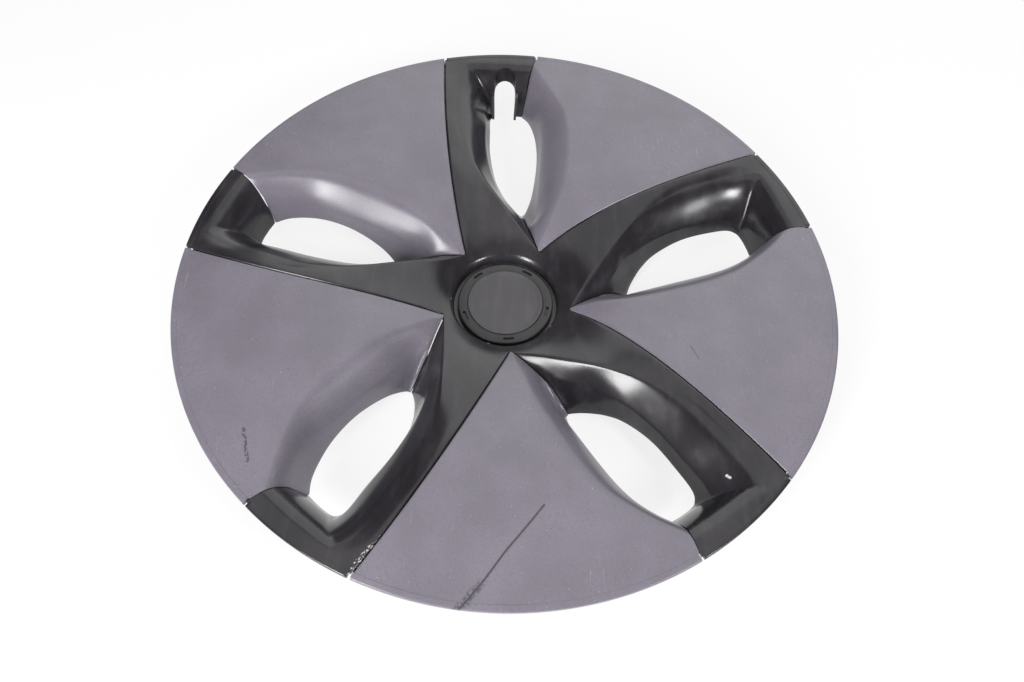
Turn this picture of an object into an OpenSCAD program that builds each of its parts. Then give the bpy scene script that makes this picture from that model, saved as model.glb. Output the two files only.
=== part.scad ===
/* [Cover] */
// Diameter over the rim lip
cover_d = 490; // [440:1:540]
// Overall height, from the plane it lies on up to the rim
cover_h = 57; // [50:0.5:64]
// Thickness of the moulded skins
skin = 2.6; // [2:0.1:3.2]
// Open gap between a trim panel and the frame
seam_gap = 0.8; // [0.5:0.1:1.5]

/* [Rim] */
// Width of the rolled rim lip
lip_w = 4.4; // [3.6:0.1:5.4]
// Height of the rolled rim lip
lip_h = 4.2; // [3.4:0.1:5]
// Rounding of the lip's outer edge
lip_round = 1.2; // [0.6:0.1:1.6]
// Width of the open notch at each seam, at the rim
notch_w = 2.6; // [1.6:0.1:4]
// Width of the frame's ring under the trim panels
ring_w = 17; // [14:0.5:20]
// Thickness of the frame's ring and seam ledges
ledge_t = 2.4; // [2:0.1:3]
// Depth of the stiffening wall under the ring
ring_wall_h = 12; // [8:0.5:18]
// Width of the ledge that carries a panel beside its long seam
ledge_w = 13; // [10:0.5:18]

/* [Hub] */
// Radius of the well that holds the centre cap
well_r = 41.3; // [39.5:0.1:42]
// Depth of the well's floor below the rim plane
well_depth = 43.5; // [42:0.5:46]
// Wall of the hub sleeve
sleeve_t = 3; // [2.5:0.1:4]
// Radius of the rolled edge round the well
well_fillet = 6.5; // [4:0.5:8]
// Radius of the bore in the well's floor
hub_bore_r = 25; // [20:0.5:27]

/* [Centre cap] */
// Clearance between the cap's ring and the well's wall
cap_ring_gap = 3.5; // [1.5:0.1:4.5]
// Diameter of the cap's disc
cap_disc_d = 59.4; // [56:0.1:61]
// Height of the cap's ring above the well's floor
cap_h = 3.8; // [3.2:0.1:5]
// Thickness of the cap's disc
disc_t = 2.2; // [1.8:0.1:2.6]
// Clearance round the cap's disc and hooks
cap_clear = 0.2; // [0.1:0.05:0.4]
// Thickness of each snap hook
hook_t = 1.8; // [1.4:0.1:2.4]
// Width of each snap hook
hook_w = 9; // [6:0.5:12]

/* [Valve slot] */
// Width of the slot that clears the tyre valve, at its foot
valve_w = 19.6; // [16:0.2:20]
// Distance of the slot's middle from its spoke's radius
valve_off = 7.2; // [6:0.2:9]

/* [Clips] */
// Height of a clip tower under the ring
tower_h = 34; // [28:0.5:40]
// Width of a clip tower, round the rim
tower_w = 14; // [12:0.5:18]
// Thickness of a clip tower
tower_t = 5; // [4:0.1:7]
// Thickness of the spring steel
spring_t = 0.8; // [0.6:0.05:1]
// Outward bow of a clip
spring_bow = 4.4; // [3:0.1:5]
// Width of a clip
spring_w = 11; // [8:0.5:12]

/* [Fasteners] */
// Radius of a screw boss under a trim panel
boss_r = 3.2; // [2.8:0.1:4]
// Clearance round a boss in its hole
boss_clear = 0.3; // [0.2:0.05:0.5]
// Radius of a panel screw's shank
screw_r = 1.3; // [1:0.1:1.5]
// Length of a panel screw under its head
screw_l = 6; // [5:0.5:8]
// Radius of a panel screw's washer head
screw_head_r = 4.6; // [4.2:0.1:5.5]
// Height of a panel screw's head
screw_head_h = 2; // [1.6:0.1:2.6]

/* [Hidden] */
$fn = 96;

spokes = 5;
pitch = 360 / spokes;
R = cover_d / 2;

// The hub sleeve stands a little lower than the windows' inner tips
sleeve_drop = 1.5;
hem_share = 0.147;
hem_mid = 0.7;
tip_at = [0.047, 0.415];
tip_share = hem_share + pow(norm(tip_at) - hem_mid, 2);
D = (cover_h - sleeve_drop) / tip_share;

// The face is a dish that fades out towards the rim, and every height is a depth below the rim plane
root_share = 0.2085;
root_r = root_share * R;
dish_share = 0.125;
dish_rate = 4.64;
lip_rise = 0.12;
function dish_slope(r) = dish_share * D * dish_rate / R * exp(-dish_rate * (r / R - root_share));
function dish(r) =
    -lip_rise - dish_share * D * (exp(-dish_rate * (r / R - root_share)) - exp(-dish_rate * (1 - root_share)));

// The windows' lower edges and sills lie on two shallow bowls
function hem(r) = -D * (hem_share + pow(r / R - hem_mid, 2));
function sill(r) = -D * (0.1005 + 0.2 * pow(r / R - 0.64, 2));

// The long seam is a spiral that tightens towards the hub
seam_rim_a = 104.74;
short_rim_a = 85.25;
function seam_a(r) = seam_rim_a + 12.3 * ln(R / r) + 1.6 * pow(ln(R / r), 3);
function polar(r, a, z) = [r * cos(a), r * sin(a), z];
function seam(r) = polar(r, seam_a(r), dish(r));
tip_a = 60.2;

// A smooth curve through points, with one point at each whole number of t
function at(k, i) = i < 0 ? 2 * k[0] - k[1] : i >= len(k) ? 2 * k[len(k) - 1] - k[len(k) - 2] : k[i];
function bend(a, b, c, d, u) = b + u / 2 * (c - a + u * (2 * a - 5 * b + 4 * c - d + u * (3 * b - a - 3 * c + d)));
function along(k, t) =
    let (i = min(floor(t), len(k) - 2))
    bend(at(k, i - 1), at(k, i), at(k, i + 1), at(k, i + 2), t - i);
function steps(k, t) = let (i = min(floor(t), len(k) - 2)) k[i] + (k[i + 1] - k[i]) * (t - i);
function flat(p) = R * [p[0], p[1]];
function rad(p) = norm([p[0], p[1]]);
function lift(p, z) = [p[0], p[1], z];

// Spoke side of a window, from its inner tip round to the short seam at the rim
frame_crease = [[0.0985, 0.187], [0.0562, 0.2377], [-0.0064, 0.3182], [-0.052, 0.3785], [-0.0948, 0.439],
                [-0.1426, 0.5195], [-0.186, 0.64], [-0.196, 0.745], [-0.197, 0.845], [-0.185, 0.925],
                [-0.16, 0.962], [-0.034, 0.9745], [0.0795, 0.9718]];
frame_sill = [[0.068, 0.29], [0.036, 0.335], [0.002, 0.378], [-0.03, 0.418], [-0.0534, 0.4736], [-0.075, 0.543],
              [-0.0905, 0.64], [-0.0955, 0.745], [-0.098, 0.825], [-0.0865, 0.87], [-0.06, 0.871],
              [-0.008, 0.871], [0.0458, 0.8712]];
frame_hem = [tip_at, [0.036, 0.421], [0.015, 0.4375], [-0.006, 0.46], [-0.03, 0.492], [-0.054, 0.543],
             [-0.0735, 0.64], [-0.0775, 0.745], [-0.079, 0.82], [-0.066, 0.848], [-0.045, 0.857],
             [-0.005, 0.858], [0.0343, 0.8547]];
frame_swell = [1.9, 1.2, 1.15, 1.15, 1.15, 1.3, 1.5, 1.6, 1.7, 1.8, 2.6, 3, 3.2];
frame_fall = [0, 0.001, 0.005, 0.007, 0.0105, 0.0125, 0.0125, 0.0125, 0.0125, 0.004, 0, 0, 0];
seam_share = [root_share, 0.36, 0.5175, 0.674, 0.79, 0.91, 1];
frame_dip = [0.018, 0.012, 0.01, 0.01, 0.008, 0.003, 0, 0, 0, 0, 0, 0, 0];
tip_bulge = 0.0145;
tip_bow = [-0.004, -0.001, 0];
tip_round = 0.0042;
spoke_end = len(frame_crease) - 1;
spoke_seam_from = 3;
spoke_seam_to = spoke_seam_from + len(seam_share) - 1;

// Panel side of the same window, from the inner tip to the short seam at the rim
panel_crease = [[0.0985, 0.187], [0.16, 0.315], [0.192, 0.4], [0.212, 0.51], [0.214, 0.62], [0.198, 0.72],
                [0.165, 0.8], [0.125, 0.885], [0.0775, 0.972]];
panel_sill = [[0.068, 0.29, -0.142], [0.0915, 0.333, -0.139], [0.1, 0.42, -0.123], [0.1055, 0.52, -0.1105],
              [0.1085, 0.62, -0.1045], [0.107, 0.7, -0.1005], [0.098, 0.765, -0.096], [0.08, 0.825, -0.089],
              [0.052, 0.885, -0.07]];
panel_hem = [tip_at, [0.06, 0.425], [0.0785, 0.472], [0.0905, 0.545], [0.0948, 0.6185], [0.09, 0.695],
             [0.078, 0.758], [0.06, 0.815], [0.0343, 0.8547]];
panel_swell = [1.9, 2, 2, 2, 2, 2.1, 2.4, 2.8, 3.2];
panel_far_share = [0.2145, 0.3, 0.4, 0.54, 0.67, 0.78, 0.87, 0.94, 1];
panel_end = len(panel_crease) - 1;

// Rows that run from the spoke's outer edge in to the window's hem
edge_r = R - lip_w / 2;
flange_h = skin + ledge_t + 1;
function rim_or_seam(r) = polar(min(r, edge_r), seam_a(min(r, edge_r)), dish(min(r, edge_r)));
function frame_edge(u) =
    u <= spoke_seam_from ? polar(root_r, tip_a + (seam_a(root_r) - tip_a) * u / spoke_seam_from, dish(root_r))
    : u <= spoke_seam_to ? rim_or_seam(R * along(seam_share, u - spoke_seam_from))
    : polar(edge_r, seam_a(edge_r) + (short_rim_a - seam_a(edge_r)) * (u - spoke_seam_to) / (spoke_end - spoke_seam_to),
            dish(edge_r));
// Into the hub's edge at the root, softened at the long seam and into the lip at the rim
root_tuck = [1.2, 0.6];
edge_soft = [1.2, 0.3];
function outward(p) = unit([p[0], p[1], 0]);
function on_seam(u) = u > spoke_seam_from && u < spoke_seam_to;
function frame_border(edge, u) =
    on_seam(u) ? edge - [0, 0, edge_soft[1]]
    : u <= spoke_seam_from ? edge - root_tuck[0] * outward(edge) - [0, 0, root_tuck[1]]
    : edge + outward(edge);
function frame_row(u) =
    let (edge = frame_edge(u),
         crease_p = flat(along(frame_crease, u)),
         fall = D * steps(frame_fall, u),
         crease = lift(crease_p, dish(norm(crease_p)) - fall),
         sill_p = flat(along(frame_sill, u)),
         lip = lift(sill_p, sill(norm(sill_p)) - D * steps(frame_dip, u)),
         hem_p = flat(along(frame_hem, u)),
         low = lift(hem_p, hem(norm(hem_p))),
         swell = steps(frame_swell, u))
    concat([frame_border(edge, u)],
           [for (w = [on_seam(u) ? edge_soft[0] / rad(edge - crease) : 0, 1/3, 2/3, 1]) let (p = edge + (crease - edge) * w) lift(p, dish(rad(p)) - fall * w * w)],
           [for (q = [0.75, 0.5, 0.25]) slope(lip, crease, q, swell)],
           [lip, tuck(lip, low, max(0, 1 - u)), low]);
function slope(low, high, q, swell) =
    let (p = low + (high - low) * q) lift(p, high[2] - (high[2] - low[2]) * pow(1 - q, swell));
function tuck(a, b, near) = let (p = (a + b) / 2) lift(p + near * R * tip_bow, p[2] + D * tip_bulge * near);

// Rows that run from the window's hem over a trim panel to the next spoke's long seam
dish_steps = [0.08, 0.2, 0.34, 0.5, 0.66, 0.8, 0.91, 1];
function far_seam(v) =
    let (r = min(R * along(panel_far_share, v), edge_r)) [r, seam_a(r) - pitch + gap_angle(r)];
function gap_angle(r) = asin(seam_gap / r * seam_slant(r));
function seam_slant(r) = sqrt(1 + pow((12.3 + 4.8 * pow(ln(R / r), 2)) * PI / 180, 2));
tip_gap_a = 12.7;
rim_gap_a = -20.2;
tip_across = [cos(tip_gap_a), sin(tip_gap_a)];
rim_across = [cos(rim_gap_a), sin(rim_gap_a)];
function short_gap(v) = v < 0.01 ? seam_gap * tip_across : v > panel_end - 0.01 ? seam_gap * rim_across : [0, 0];
function panel_row(v) =
    let (aside = short_gap(v),
         crease_p = flat(along(panel_crease, v)) + aside,
         crease = lift(crease_p, dish(norm(crease_p))),
         sill_p = along(panel_sill, v),
         lip = lift(flat(sill_p) + aside, D * sill_p[2]),
         hem_p = flat(along(panel_hem, v)) + aside,
         low = lift(hem_p, hem(norm(hem_p))),
         swell = steps(panel_swell, v),
         near_r = norm(crease_p),
         near_a = atan2(crease_p[1], crease_p[0]),
         far = far_seam(v),
         last = v > panel_end - 0.01)
    concat([low, tuck(lip, low, max(0, 1 - 2.5 * v)), lip],
           [for (q = [0.2, 0.4, 0.65]) slope(lip, crease, q, swell)],
           [crease],
           [for (s = dish_steps)
               let (r = last ? edge_r : near_r + (far[0] - near_r) * s - R * tip_round * sin(180 * s) * max(0, 1 - v),
                    from_a = last ? short_rim_a - seam_gap / R * 180 / PI : near_a,
                    a = from_a + (far[1] - from_a) * (last ? (s - dish_steps[0]) / (1 - dish_steps[0]) : s))
               polar(r, a, dish(r))]);

// A skin of even thickness behind a grid of points
function unit(v) = v / norm(v);
function facing(g, i, j) =
    let (n = len(g) - 1, m = len(g[0]) - 1,
         di = g[min(i + 1, n)][j] - g[max(i - 1, 0)][j],
         dj = g[i][min(j + 1, m)] - g[i][max(j - 1, 0)])
    unit(cross(dj, di));
function row_way(g, i, j) = unit(g[i][min(j + 1, len(g[0]) - 1)] - g[i][max(j - 1, 0)]);
// Down and a little across a seam, so that two skins end side by side and the gap is closed to the eye
scarf = seam_gap + 0.3;
function seam_down(way, n) = let (d = unit([0, 0, -1] + way[2] * way)) d * min(1.5, -1 / (n * d));
function behind(g, t) = [for (i = [0:len(g) - 1]) [for (j = [0:len(g[0]) - 1]) g[i][j] - t * facing(g, i, j)]];
function across(i, j, window, p) =
    i == 0 && j > window[1] ? outward(p)
    : j < window[0] || j > window[1] ? [0, 0, 0]
    : lift(i == 0 ? tip_across : rim_across, 0);
function under_skin(g, window) =
    let (b = behind(g, skin), last = len(g) - 1)
    [for (i = [0:last]) i > 0 && i < last ? b[i] : [for (j = [0:len(g[0]) - 1])
        g[i][j] + skin * seam_down(row_way(g, i, j), facing(g, i, j)) + scarf * across(i, j, window, g[i][j])]];
function below(g, z) = [for (row = g) [for (p = row) lift(p, z)]];
module between(front, back) {
    n = len(front);
    m = len(front[0]);
    cells = [for (i = [0:n - 2]) for (j = [0:m - 2]) i * m + j];
    rim = concat([for (j = [0:m - 2]) [j, j + 1]],
                 [for (i = [0:n - 2]) [i * m + m - 1, (i + 1) * m + m - 1]],
                 [for (j = [m - 2:-1:0]) [(n - 1) * m + j + 1, (n - 1) * m + j]],
                 [for (i = [n - 2:-1:0]) [(i + 1) * m, i * m]]);
    above = n * m;
    polyhedron(concat([for (row = back) each row], [for (row = front) each row]),
               concat([for (c = cells) each [[c, c + 1, c + m + 1], [c, c + m + 1, c + m]]],
                      [for (c = cells) each [[above + c, above + c + m + 1, above + c + 1],
                                             [above + c, above + c + m, above + c + m + 1]]],
                      [for (e = rim) each [[e[0], above + e[1], e[1]], [e[0], above + e[0], above + e[1]]]]));
}

frame_stations = [for (u = [0:0.5:spoke_end]) u];
panel_stations = [for (i = [0:panel_end * 5 / 2]) i * 2 / 5];
frame_grid = [for (u = frame_stations) frame_row(u)];
panel_grid = [for (v = panel_stations) panel_row(v)];
module spoke_skin() between(frame_grid, under_skin(frame_grid, [4, 10]));
module panel_skin() between(panel_grid, under_skin(panel_grid, [0, 6]));

// Rolled lip round the rim, as one stretch between two angles
module sector(from_a, to_a) rotate(from_a) rotate_extrude(angle = to_a - from_a) children();
notch_a = notch_w / R * 180 / PI / 2;
module rim_lip(from_a, to_a)
    sector(from_a + notch_a, to_a - notch_a) polygon(concat(
        [[R - lip_w, -lip_h], [R, -lip_h]],
        [for (a = [0:22.5:90]) [R - lip_round + lip_round * cos(a), -lip_round + lip_round * sin(a)]],
        [[R - lip_w, 0]]));

// Levels of what carries the panels, a clearance under their skin
seat_gap = 0.3;
function seat(r) = dish(r) - skin * sqrt(1 + pow(dish_slope(r), 2)) - seat_gap;
ring_out = R - lip_w - 0.5;
ring_in = ring_out - ring_w;
ring_wall_t = 2.6;
ring_low = seat(R) - ledge_t;

// Frame's ring under a panel, with a stiffening wall inside, tied to the spoke at either end
ring_short = 5;
tie_in = 0.963 * R;
module ring_under_panel() {
    sector(seam_rim_a - pitch - 1, short_rim_a - ring_short) polygon([
        [ring_in, seat(ring_in)], [ring_out, seat(ring_out)], [ring_out, ring_low],
        [ring_in + ring_wall_t, ring_low], [ring_in + ring_wall_t, ring_low - ring_wall_h],
        [ring_in, ring_low - ring_wall_h]]);
    sector(short_rim_a - ring_short - 1, short_rim_a + 2)
        translate([tie_in, ring_low]) square([ring_out - tie_in, ledge_t]);
    sector(short_rim_a + 1, seam_rim_a - 1)
        translate([tie_in, ring_low]) square([R - lip_w / 2 - tie_in, -ring_low - skin / 2]);
}

// Ledge that carries a panel beside its long seam
ledge_from = 0.295 * R;
ledge_root = 2;
ledge_to = ring_in + ledge_root;
function spread(from, to, n) = [for (i = [0:n]) from + (to - from) * i / n];
ledge_rs = spread(ledge_from, ledge_to, 12);
// The ledge lies a little lower than the ring, so that it ends inside the ring's wall
ledge_drop = 0.15;
function ledge_top(r) = seat(r) - ledge_drop;
function beside_seam(r, w) = let (p = polar(r, seam_a(r) + w / r * 180 / PI * seam_slant(r), 0)) [p[0], p[1]];
module seam_strip(rs, w0, w1) translate([0, 0, -cover_h]) linear_extrude(cover_h) polygon(concat(
    [for (r = rs) beside_seam(r, w0)], [for (i = [len(rs) - 1:-1:0]) beside_seam(rs[i], w1)]));
// The strip's own radii start and end outside the turned part, so its corners miss that part's edges
strip_more = 1;
module seam_ledge() intersection() {
    rotate_extrude() polygon(concat(
        [for (r = ledge_rs) [r, ledge_top(r)]],
        [for (i = [len(ledge_rs) - 1:-1:0]) [ledge_rs[i], ledge_top(ledge_rs[i]) - ledge_t]]));
    seam_strip(spread(ledge_from - strip_more, ledge_to + strip_more, 13), -ledge_root, ledge_w);
}

// Wall down from the spoke's long edge, which the ledge stands on
wall_from = root_r + 1.6;
wall_rs = spread(wall_from, ledge_to, 14);
wall_t = 2.4;
wall_in = 0.2;
module seam_wall() intersection() {
    rotate_extrude() polygon(concat(
        [for (r = wall_rs) [r, dish(r) - skin / 2]],
        [for (i = [len(wall_rs) - 1:-1:0]) [wall_rs[i], dish(wall_rs[i]) - flange_h]]));
    seam_strip(spread(wall_from - strip_more, ledge_to + strip_more, 17), -wall_in - wall_t, -wall_in);
}

// Places of the screws, as radius and angle in the frame of the spoke beside the panel
ledge_screw_share = [0.35, 0.59, 0.82];
ring_screw_a = 8;
panel_mid_a = (short_rim_a + seam_rim_a - pitch) / 2;
ring_mid = ring_out - ring_w / 2;
screw_places = concat(
    [for (s = ledge_screw_share) let (p = beside_seam(s * R, ledge_w / 2)) [s * R, atan2(p[1], p[0]) - pitch]],
    [for (side = [-1, 1]) [ring_mid, panel_mid_a + side * ring_screw_a]]);
pad_r = screw_head_r + 0.8;
pad_drop = 0.2;
// A hole for a screw is a little deeper than the screw, and ends under the panel's skin
screw_spare = 0.4;
pad_t = screw_l + screw_spare - pad_drop;
function pad_top(r) = seat(r - pad_r) - pad_drop;
function pad_low(r) = pad_top(r) - pad_t;
module screw_pads() for (p = screw_places)
    rotate(p[1]) translate([p[0], 0, pad_low(p[0])]) cylinder(h = pad_t, r = pad_r);
module screw_holes() for (p = screw_places)
    rotate(p[1]) translate([p[0], 0, -cover_h]) cylinder(h = cover_h, r = boss_r + boss_clear);

// Well, floor and sleeve of the hub, turned in one profile
fillet_r = min(well_fillet, 2 * (root_r - well_r - 1));
fillet_from = well_r + fillet_r / 2;
fillet_z = dish(fillet_from) - fillet_r * sin(120);
hub_out = root_r + 0.6;
hub_top = root_r - 0.9;
hub_sink = 1.1;
floor_t = 3;
module hub() rotate_extrude() polygon(concat(
    [[hub_out, dish(root_r) - flange_h], [hub_out, dish(hub_out) - hub_sink]],
    [for (i = [0:4]) let (r = hub_top + (fillet_from - hub_top) * i / 4) [r, dish(r)]],
    [for (a = [130:10:180]) [well_r + fillet_r + fillet_r * cos(a), fillet_z + fillet_r * sin(a)]],
    [[well_r, -well_depth], [hub_bore_r, -well_depth], [hub_bore_r, -well_depth - floor_t],
     [well_r, -well_depth - floor_t], [well_r, -cover_h], [well_r + sleeve_t, -cover_h],
     [well_r + sleeve_t, dish(root_r) - flange_h]]));

// Rib between the hub sleeve and each spoke
rib_t = 2.4;
rib_a = 110;
rib_out = 0.35 * R;
rib_h = 9;
rib_foot = 3;
rib_low = 8;
// How far a rib or tower runs into what carries it
bite = 1;
module hub_rib() rotate(rib_a) rotate([90, 0, 0]) translate([0, 0, -rib_t / 2]) linear_extrude(rib_t)
    polygon(concat([for (i = [0:6]) let (r = hub_out - bite + (rib_out - hub_out + bite) * i / 6) [r, dish(r) - skin * 0.85]],
                   [[rib_out, dish(rib_out) - rib_h], [well_r + sleeve_t + rib_foot, -cover_h + rib_low],
                    [well_r + bite, -cover_h + rib_low], [well_r + bite, dish(root_r) - flange_h + bite],
                    [hub_out - bite, dish(root_r) - flange_h + bite]]));

// Slot through the outer end of one spoke, drafted, with a wall of its own
slot_low = -0.057 * D;
slot_draft = 16;
slot_foot_draft = 2;
slot_y = 0.88 * R;
slot_mouth = 0.79 * R;
slot_wall = 2.2;
function slot_r(z) = valve_w / 2 + (z - slot_low) * tan(z > slot_low ? slot_draft : slot_foot_draft);
module slot_body(grow, z0, z1) {
    side = [for (z = [z0, slot_low, z1]) [slot_r(z) + grow, z]];
    translate([-valve_off, slot_y, 0]) rotate_extrude() polygon(concat([[0, z0]], side, [[0, z1]]));
    translate([-valve_off, slot_y, 0]) rotate([90, 0, 0]) linear_extrude(slot_y - slot_mouth)
        polygon(concat(side, [for (i = [2:-1:0]) [-side[i][0], side[i][1]]]));
}
slot_grid = behind([for (u = [8.5:0.5:spoke_end]) let (row = frame_row(u)) [for (j = [1:len(row) - 1]) row[j]]],
                   skin / 2);
module slot_cut() slot_body(0, -cover_h * 0.9, slot_wall);
module slot_liner() intersection() {
    between(slot_grid, below(slot_grid, -cover_h));
    slot_body(slot_wall, -cover_h * 0.8, slot_wall);
    rotate([90, 0, 90]) translate([0, 0, -R / 4]) linear_extrude(R / 2) polygon([
        [slot_mouth, 1], [R, 1], [R, slot_low], [slot_y + valve_w / 2, slot_low],
        [0.872 * R, slot_low * 1.5],
        [0.858 * R, hem(0.857 * R) + 1], [slot_mouth, hem(0.857 * R) + 1]]);
}

// Towers under the ring, two to each panel
tower_a = 15;
tower_r = ring_mid;
tower_places = [for (side = [-1, 1]) panel_mid_a + side * tower_a];
tower_low = ring_low - tower_h;
gusset_low = 3;
module clip_tower() {
    translate([tower_r - tower_t / 2, -tower_w / 2, tower_low]) cube([tower_t, tower_w, tower_h + ledge_t / 2]);
    translate([0, rib_t / 2, 0]) rotate([90, 0, 0]) linear_extrude(rib_t) polygon([
        [tower_r - tower_t / 2 + 0.5, tower_low + tower_h / 2], [tower_r - tower_t / 2 + 0.5, ring_low + 0.5],
        [ring_in + bite, ring_low + 0.5], [ring_in + bite, ring_low - gusset_low]]);
}

module star_frame() color("#2b2a2c") translate([0, 0, cover_h]) {
    for (k = [0:spokes - 1]) rotate(-pitch * k) {
        if (k > 0) spoke_skin();
        rim_lip(short_rim_a, seam_rim_a);
        difference() {
            union() {
                ring_under_panel();
                rotate(-pitch) seam_ledge();
                screw_pads();
            }
            screw_holes();
        }
        seam_wall();
        hub_rib();
        for (a = tower_places) rotate(a) clip_tower();
    }
    difference() {
        union() {
            spoke_skin();
            slot_liner();
        }
        slot_cut();
    }
    hub();
}

// A panel screw stands in its boss with a clearance, and its head bears on the pad
screw_gap = 0.1;
boss_short = 0.1;
boss_under = 0.5;
module screw_bosses() for (p = screw_places) rotate(p[1]) translate([p[0], 0, pad_low(p[0]) + boss_short])
    difference() {
        cylinder(h = dish(p[0] - boss_r) - boss_under - pad_low(p[0]) - boss_short, r = boss_r);
        translate([0, 0, -bite]) cylinder(h = bite + screw_l + screw_spare - boss_short, r = screw_r + screw_gap);
    }
module panel(k) color("#75727a") translate([0, 0, cover_h]) rotate(-pitch * k) {
    panel_skin();
    rim_lip(seam_rim_a - pitch, short_rim_a);
    screw_bosses();
}
module panel_screws() color("silver") translate([0, 0, cover_h])
    for (k = [0:spokes - 1]) for (p = screw_places)
        rotate(p[1] - pitch * k) translate([p[0], 0, pad_low(p[0])]) difference() {
            union() {
                translate([0, 0, -screw_head_h]) cylinder(h = screw_head_h, r = screw_head_r);
                cylinder(h = screw_l, r = screw_r);
            }
            translate([0, 0, -screw_head_h - 1]) cylinder(h = screw_head_h, r = screw_r, $fn = 6);
        }

// Spring clip folded over a tower's lower end, drawn as a bowed strip
clip_gap = 0.1;
clip_in = tower_r - tower_t / 2 - clip_gap;
clip_out = tower_r + tower_t / 2 + clip_gap;
clip_low = tower_low - clip_gap;
bow_h = tower_h * 0.72;
function bow(s) = [clip_out + spring_bow * pow(sin(180 * s), 2), clip_low + 1 + bow_h * s];
bow_steps = [for (i = [0:12]) i / 12];
module clip_profile() polygon(concat(
    [[clip_in, clip_low + tower_h * 0.45], [clip_in, clip_low], [clip_out, clip_low]],
    [for (s = bow_steps) bow(s)],
    [[clip_out + 1.4, clip_low + bow_h + 3.4], [clip_out + 1.4 + spring_t, clip_low + bow_h + 3.4]],
    [for (i = [12:-1:0]) bow(bow_steps[i]) + [spring_t, 0]],
    [[clip_out + spring_t, clip_low - spring_t], [clip_in - spring_t, clip_low - spring_t],
     [clip_in - spring_t, clip_low + tower_h * 0.45]]));
module clip(i) color("lightgray") translate([0, 0, cover_h])
    rotate(tower_places[i % 2] - pitch * floor(i / 2)) translate([0, spring_w / 2, 0])
        rotate([90, 0, 0]) linear_extrude(spring_w) clip_profile();

// Centre cap: a ring that snaps through the hub floor, and a plain disc let into it
ring_top = -well_depth + cap_h;
disc_let = 0.9;
disc_low = ring_top - disc_let;

cap_ring_r = well_r - cap_ring_gap;
cap_disc_r = cap_disc_d / 2;
hook_out = hub_bore_r - cap_clear;
hook_grip = 1.4;
ring_hole_r = hook_out - hook_t - 2;
slot_ring_r = (cap_ring_r + cap_disc_r) / 2;
grip_slot_w = 2.2;
grip_slot_a = 15;
grip_slot_at = 60;
module cap_ring() color("#262527") translate([0, 0, cover_h]) {
    difference() {
        rotate_extrude() polygon([
            [ring_hole_r, -well_depth], [cap_ring_r, -well_depth], [cap_ring_r, ring_top - 0.8],
            [cap_ring_r - 0.8, ring_top], [cap_disc_r + cap_clear, ring_top],
            [cap_disc_r + cap_clear, disc_low], [ring_hole_r, disc_low]]);
        for (k = [0:spokes - 1])
            sector(grip_slot_at + pitch * k - grip_slot_a / 2, grip_slot_at + pitch * k + grip_slot_a / 2)
                translate([slot_ring_r - grip_slot_w / 2, ring_top - 1.6]) square([grip_slot_w, 3]);
    }
    for (k = [0:spokes - 1]) rotate(pitch * k) intersection() {
        rotate_extrude() polygon([
            [hook_out - hook_t, -well_depth + 1], [hook_out, -well_depth + 1],
            [hook_out, -well_depth - floor_t - cap_clear], [hook_out + hook_grip, -well_depth - floor_t - cap_clear],
            [hook_out - 0.4, -well_depth - floor_t - 3.4], [hook_out - hook_t, -well_depth - floor_t - 3.4]]);
        translate([0, -hook_w / 2, -cover_h]) cube([R, hook_w, cover_h]);
    }
}
module cap_disc() color("#5a585b") translate([0, 0, cover_h + disc_low]) rotate_extrude()
    polygon([[0, -1], [ring_hole_r - cap_clear, -1], [ring_hole_r - cap_clear, 0], [cap_disc_r, 0],
             [cap_disc_r, disc_t - 0.5], [cap_disc_r - 0.5, disc_t], [cap_disc_r - 1.6, disc_t],
             [cap_disc_r - 2, disc_t - 0.2], [0, disc_t - 0.2]]);

star_frame();
panel(0);  // panel_1
panel(1);  // panel_2
panel(2);  // panel_3
panel(3);  // panel_4
panel(4);  // panel_5
cap_ring();
cap_disc();
clip(0);  // clip_1
clip(1);  // clip_2
clip(2);  // clip_3
clip(3);  // clip_4
clip(4);  // clip_5
clip(5);  // clip_6
clip(6);  // clip_7
clip(7);  // clip_8
clip(8);  // clip_9
clip(9);  // clip_10
panel_screws();
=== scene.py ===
from math import atan2, cos, degrees, exp, hypot, log, pi, radians, sin, sqrt, tan

import bmesh
import bpy
import numpy as np
from mathutils import Matrix, Vector
from mathutils.bvhtree import BVHTree


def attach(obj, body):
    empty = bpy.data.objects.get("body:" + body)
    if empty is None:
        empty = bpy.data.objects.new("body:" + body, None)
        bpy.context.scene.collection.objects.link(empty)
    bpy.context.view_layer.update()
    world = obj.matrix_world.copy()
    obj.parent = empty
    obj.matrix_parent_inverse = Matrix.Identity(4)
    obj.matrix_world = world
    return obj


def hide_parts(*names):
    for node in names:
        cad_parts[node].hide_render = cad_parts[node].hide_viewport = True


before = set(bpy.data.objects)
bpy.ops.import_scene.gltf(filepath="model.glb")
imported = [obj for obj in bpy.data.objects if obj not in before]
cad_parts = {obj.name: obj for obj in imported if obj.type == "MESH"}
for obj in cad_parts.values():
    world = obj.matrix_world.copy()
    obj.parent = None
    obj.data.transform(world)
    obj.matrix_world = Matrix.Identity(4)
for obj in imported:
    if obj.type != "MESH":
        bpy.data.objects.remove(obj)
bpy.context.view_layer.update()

bl_info = {
    "name": "Two-tone wheel cover",
    "version": (1, 0, 0),
    "blender": (4, 5, 0),
    "location": "View3D > Sidebar > Wheel cover",
    "description": "Builds a five-spoke wheel cover with lofted spokes, trim panels, cap, clips and screws",
    "category": "Object",
}

MM = 0.001
BODY = "root"

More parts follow.
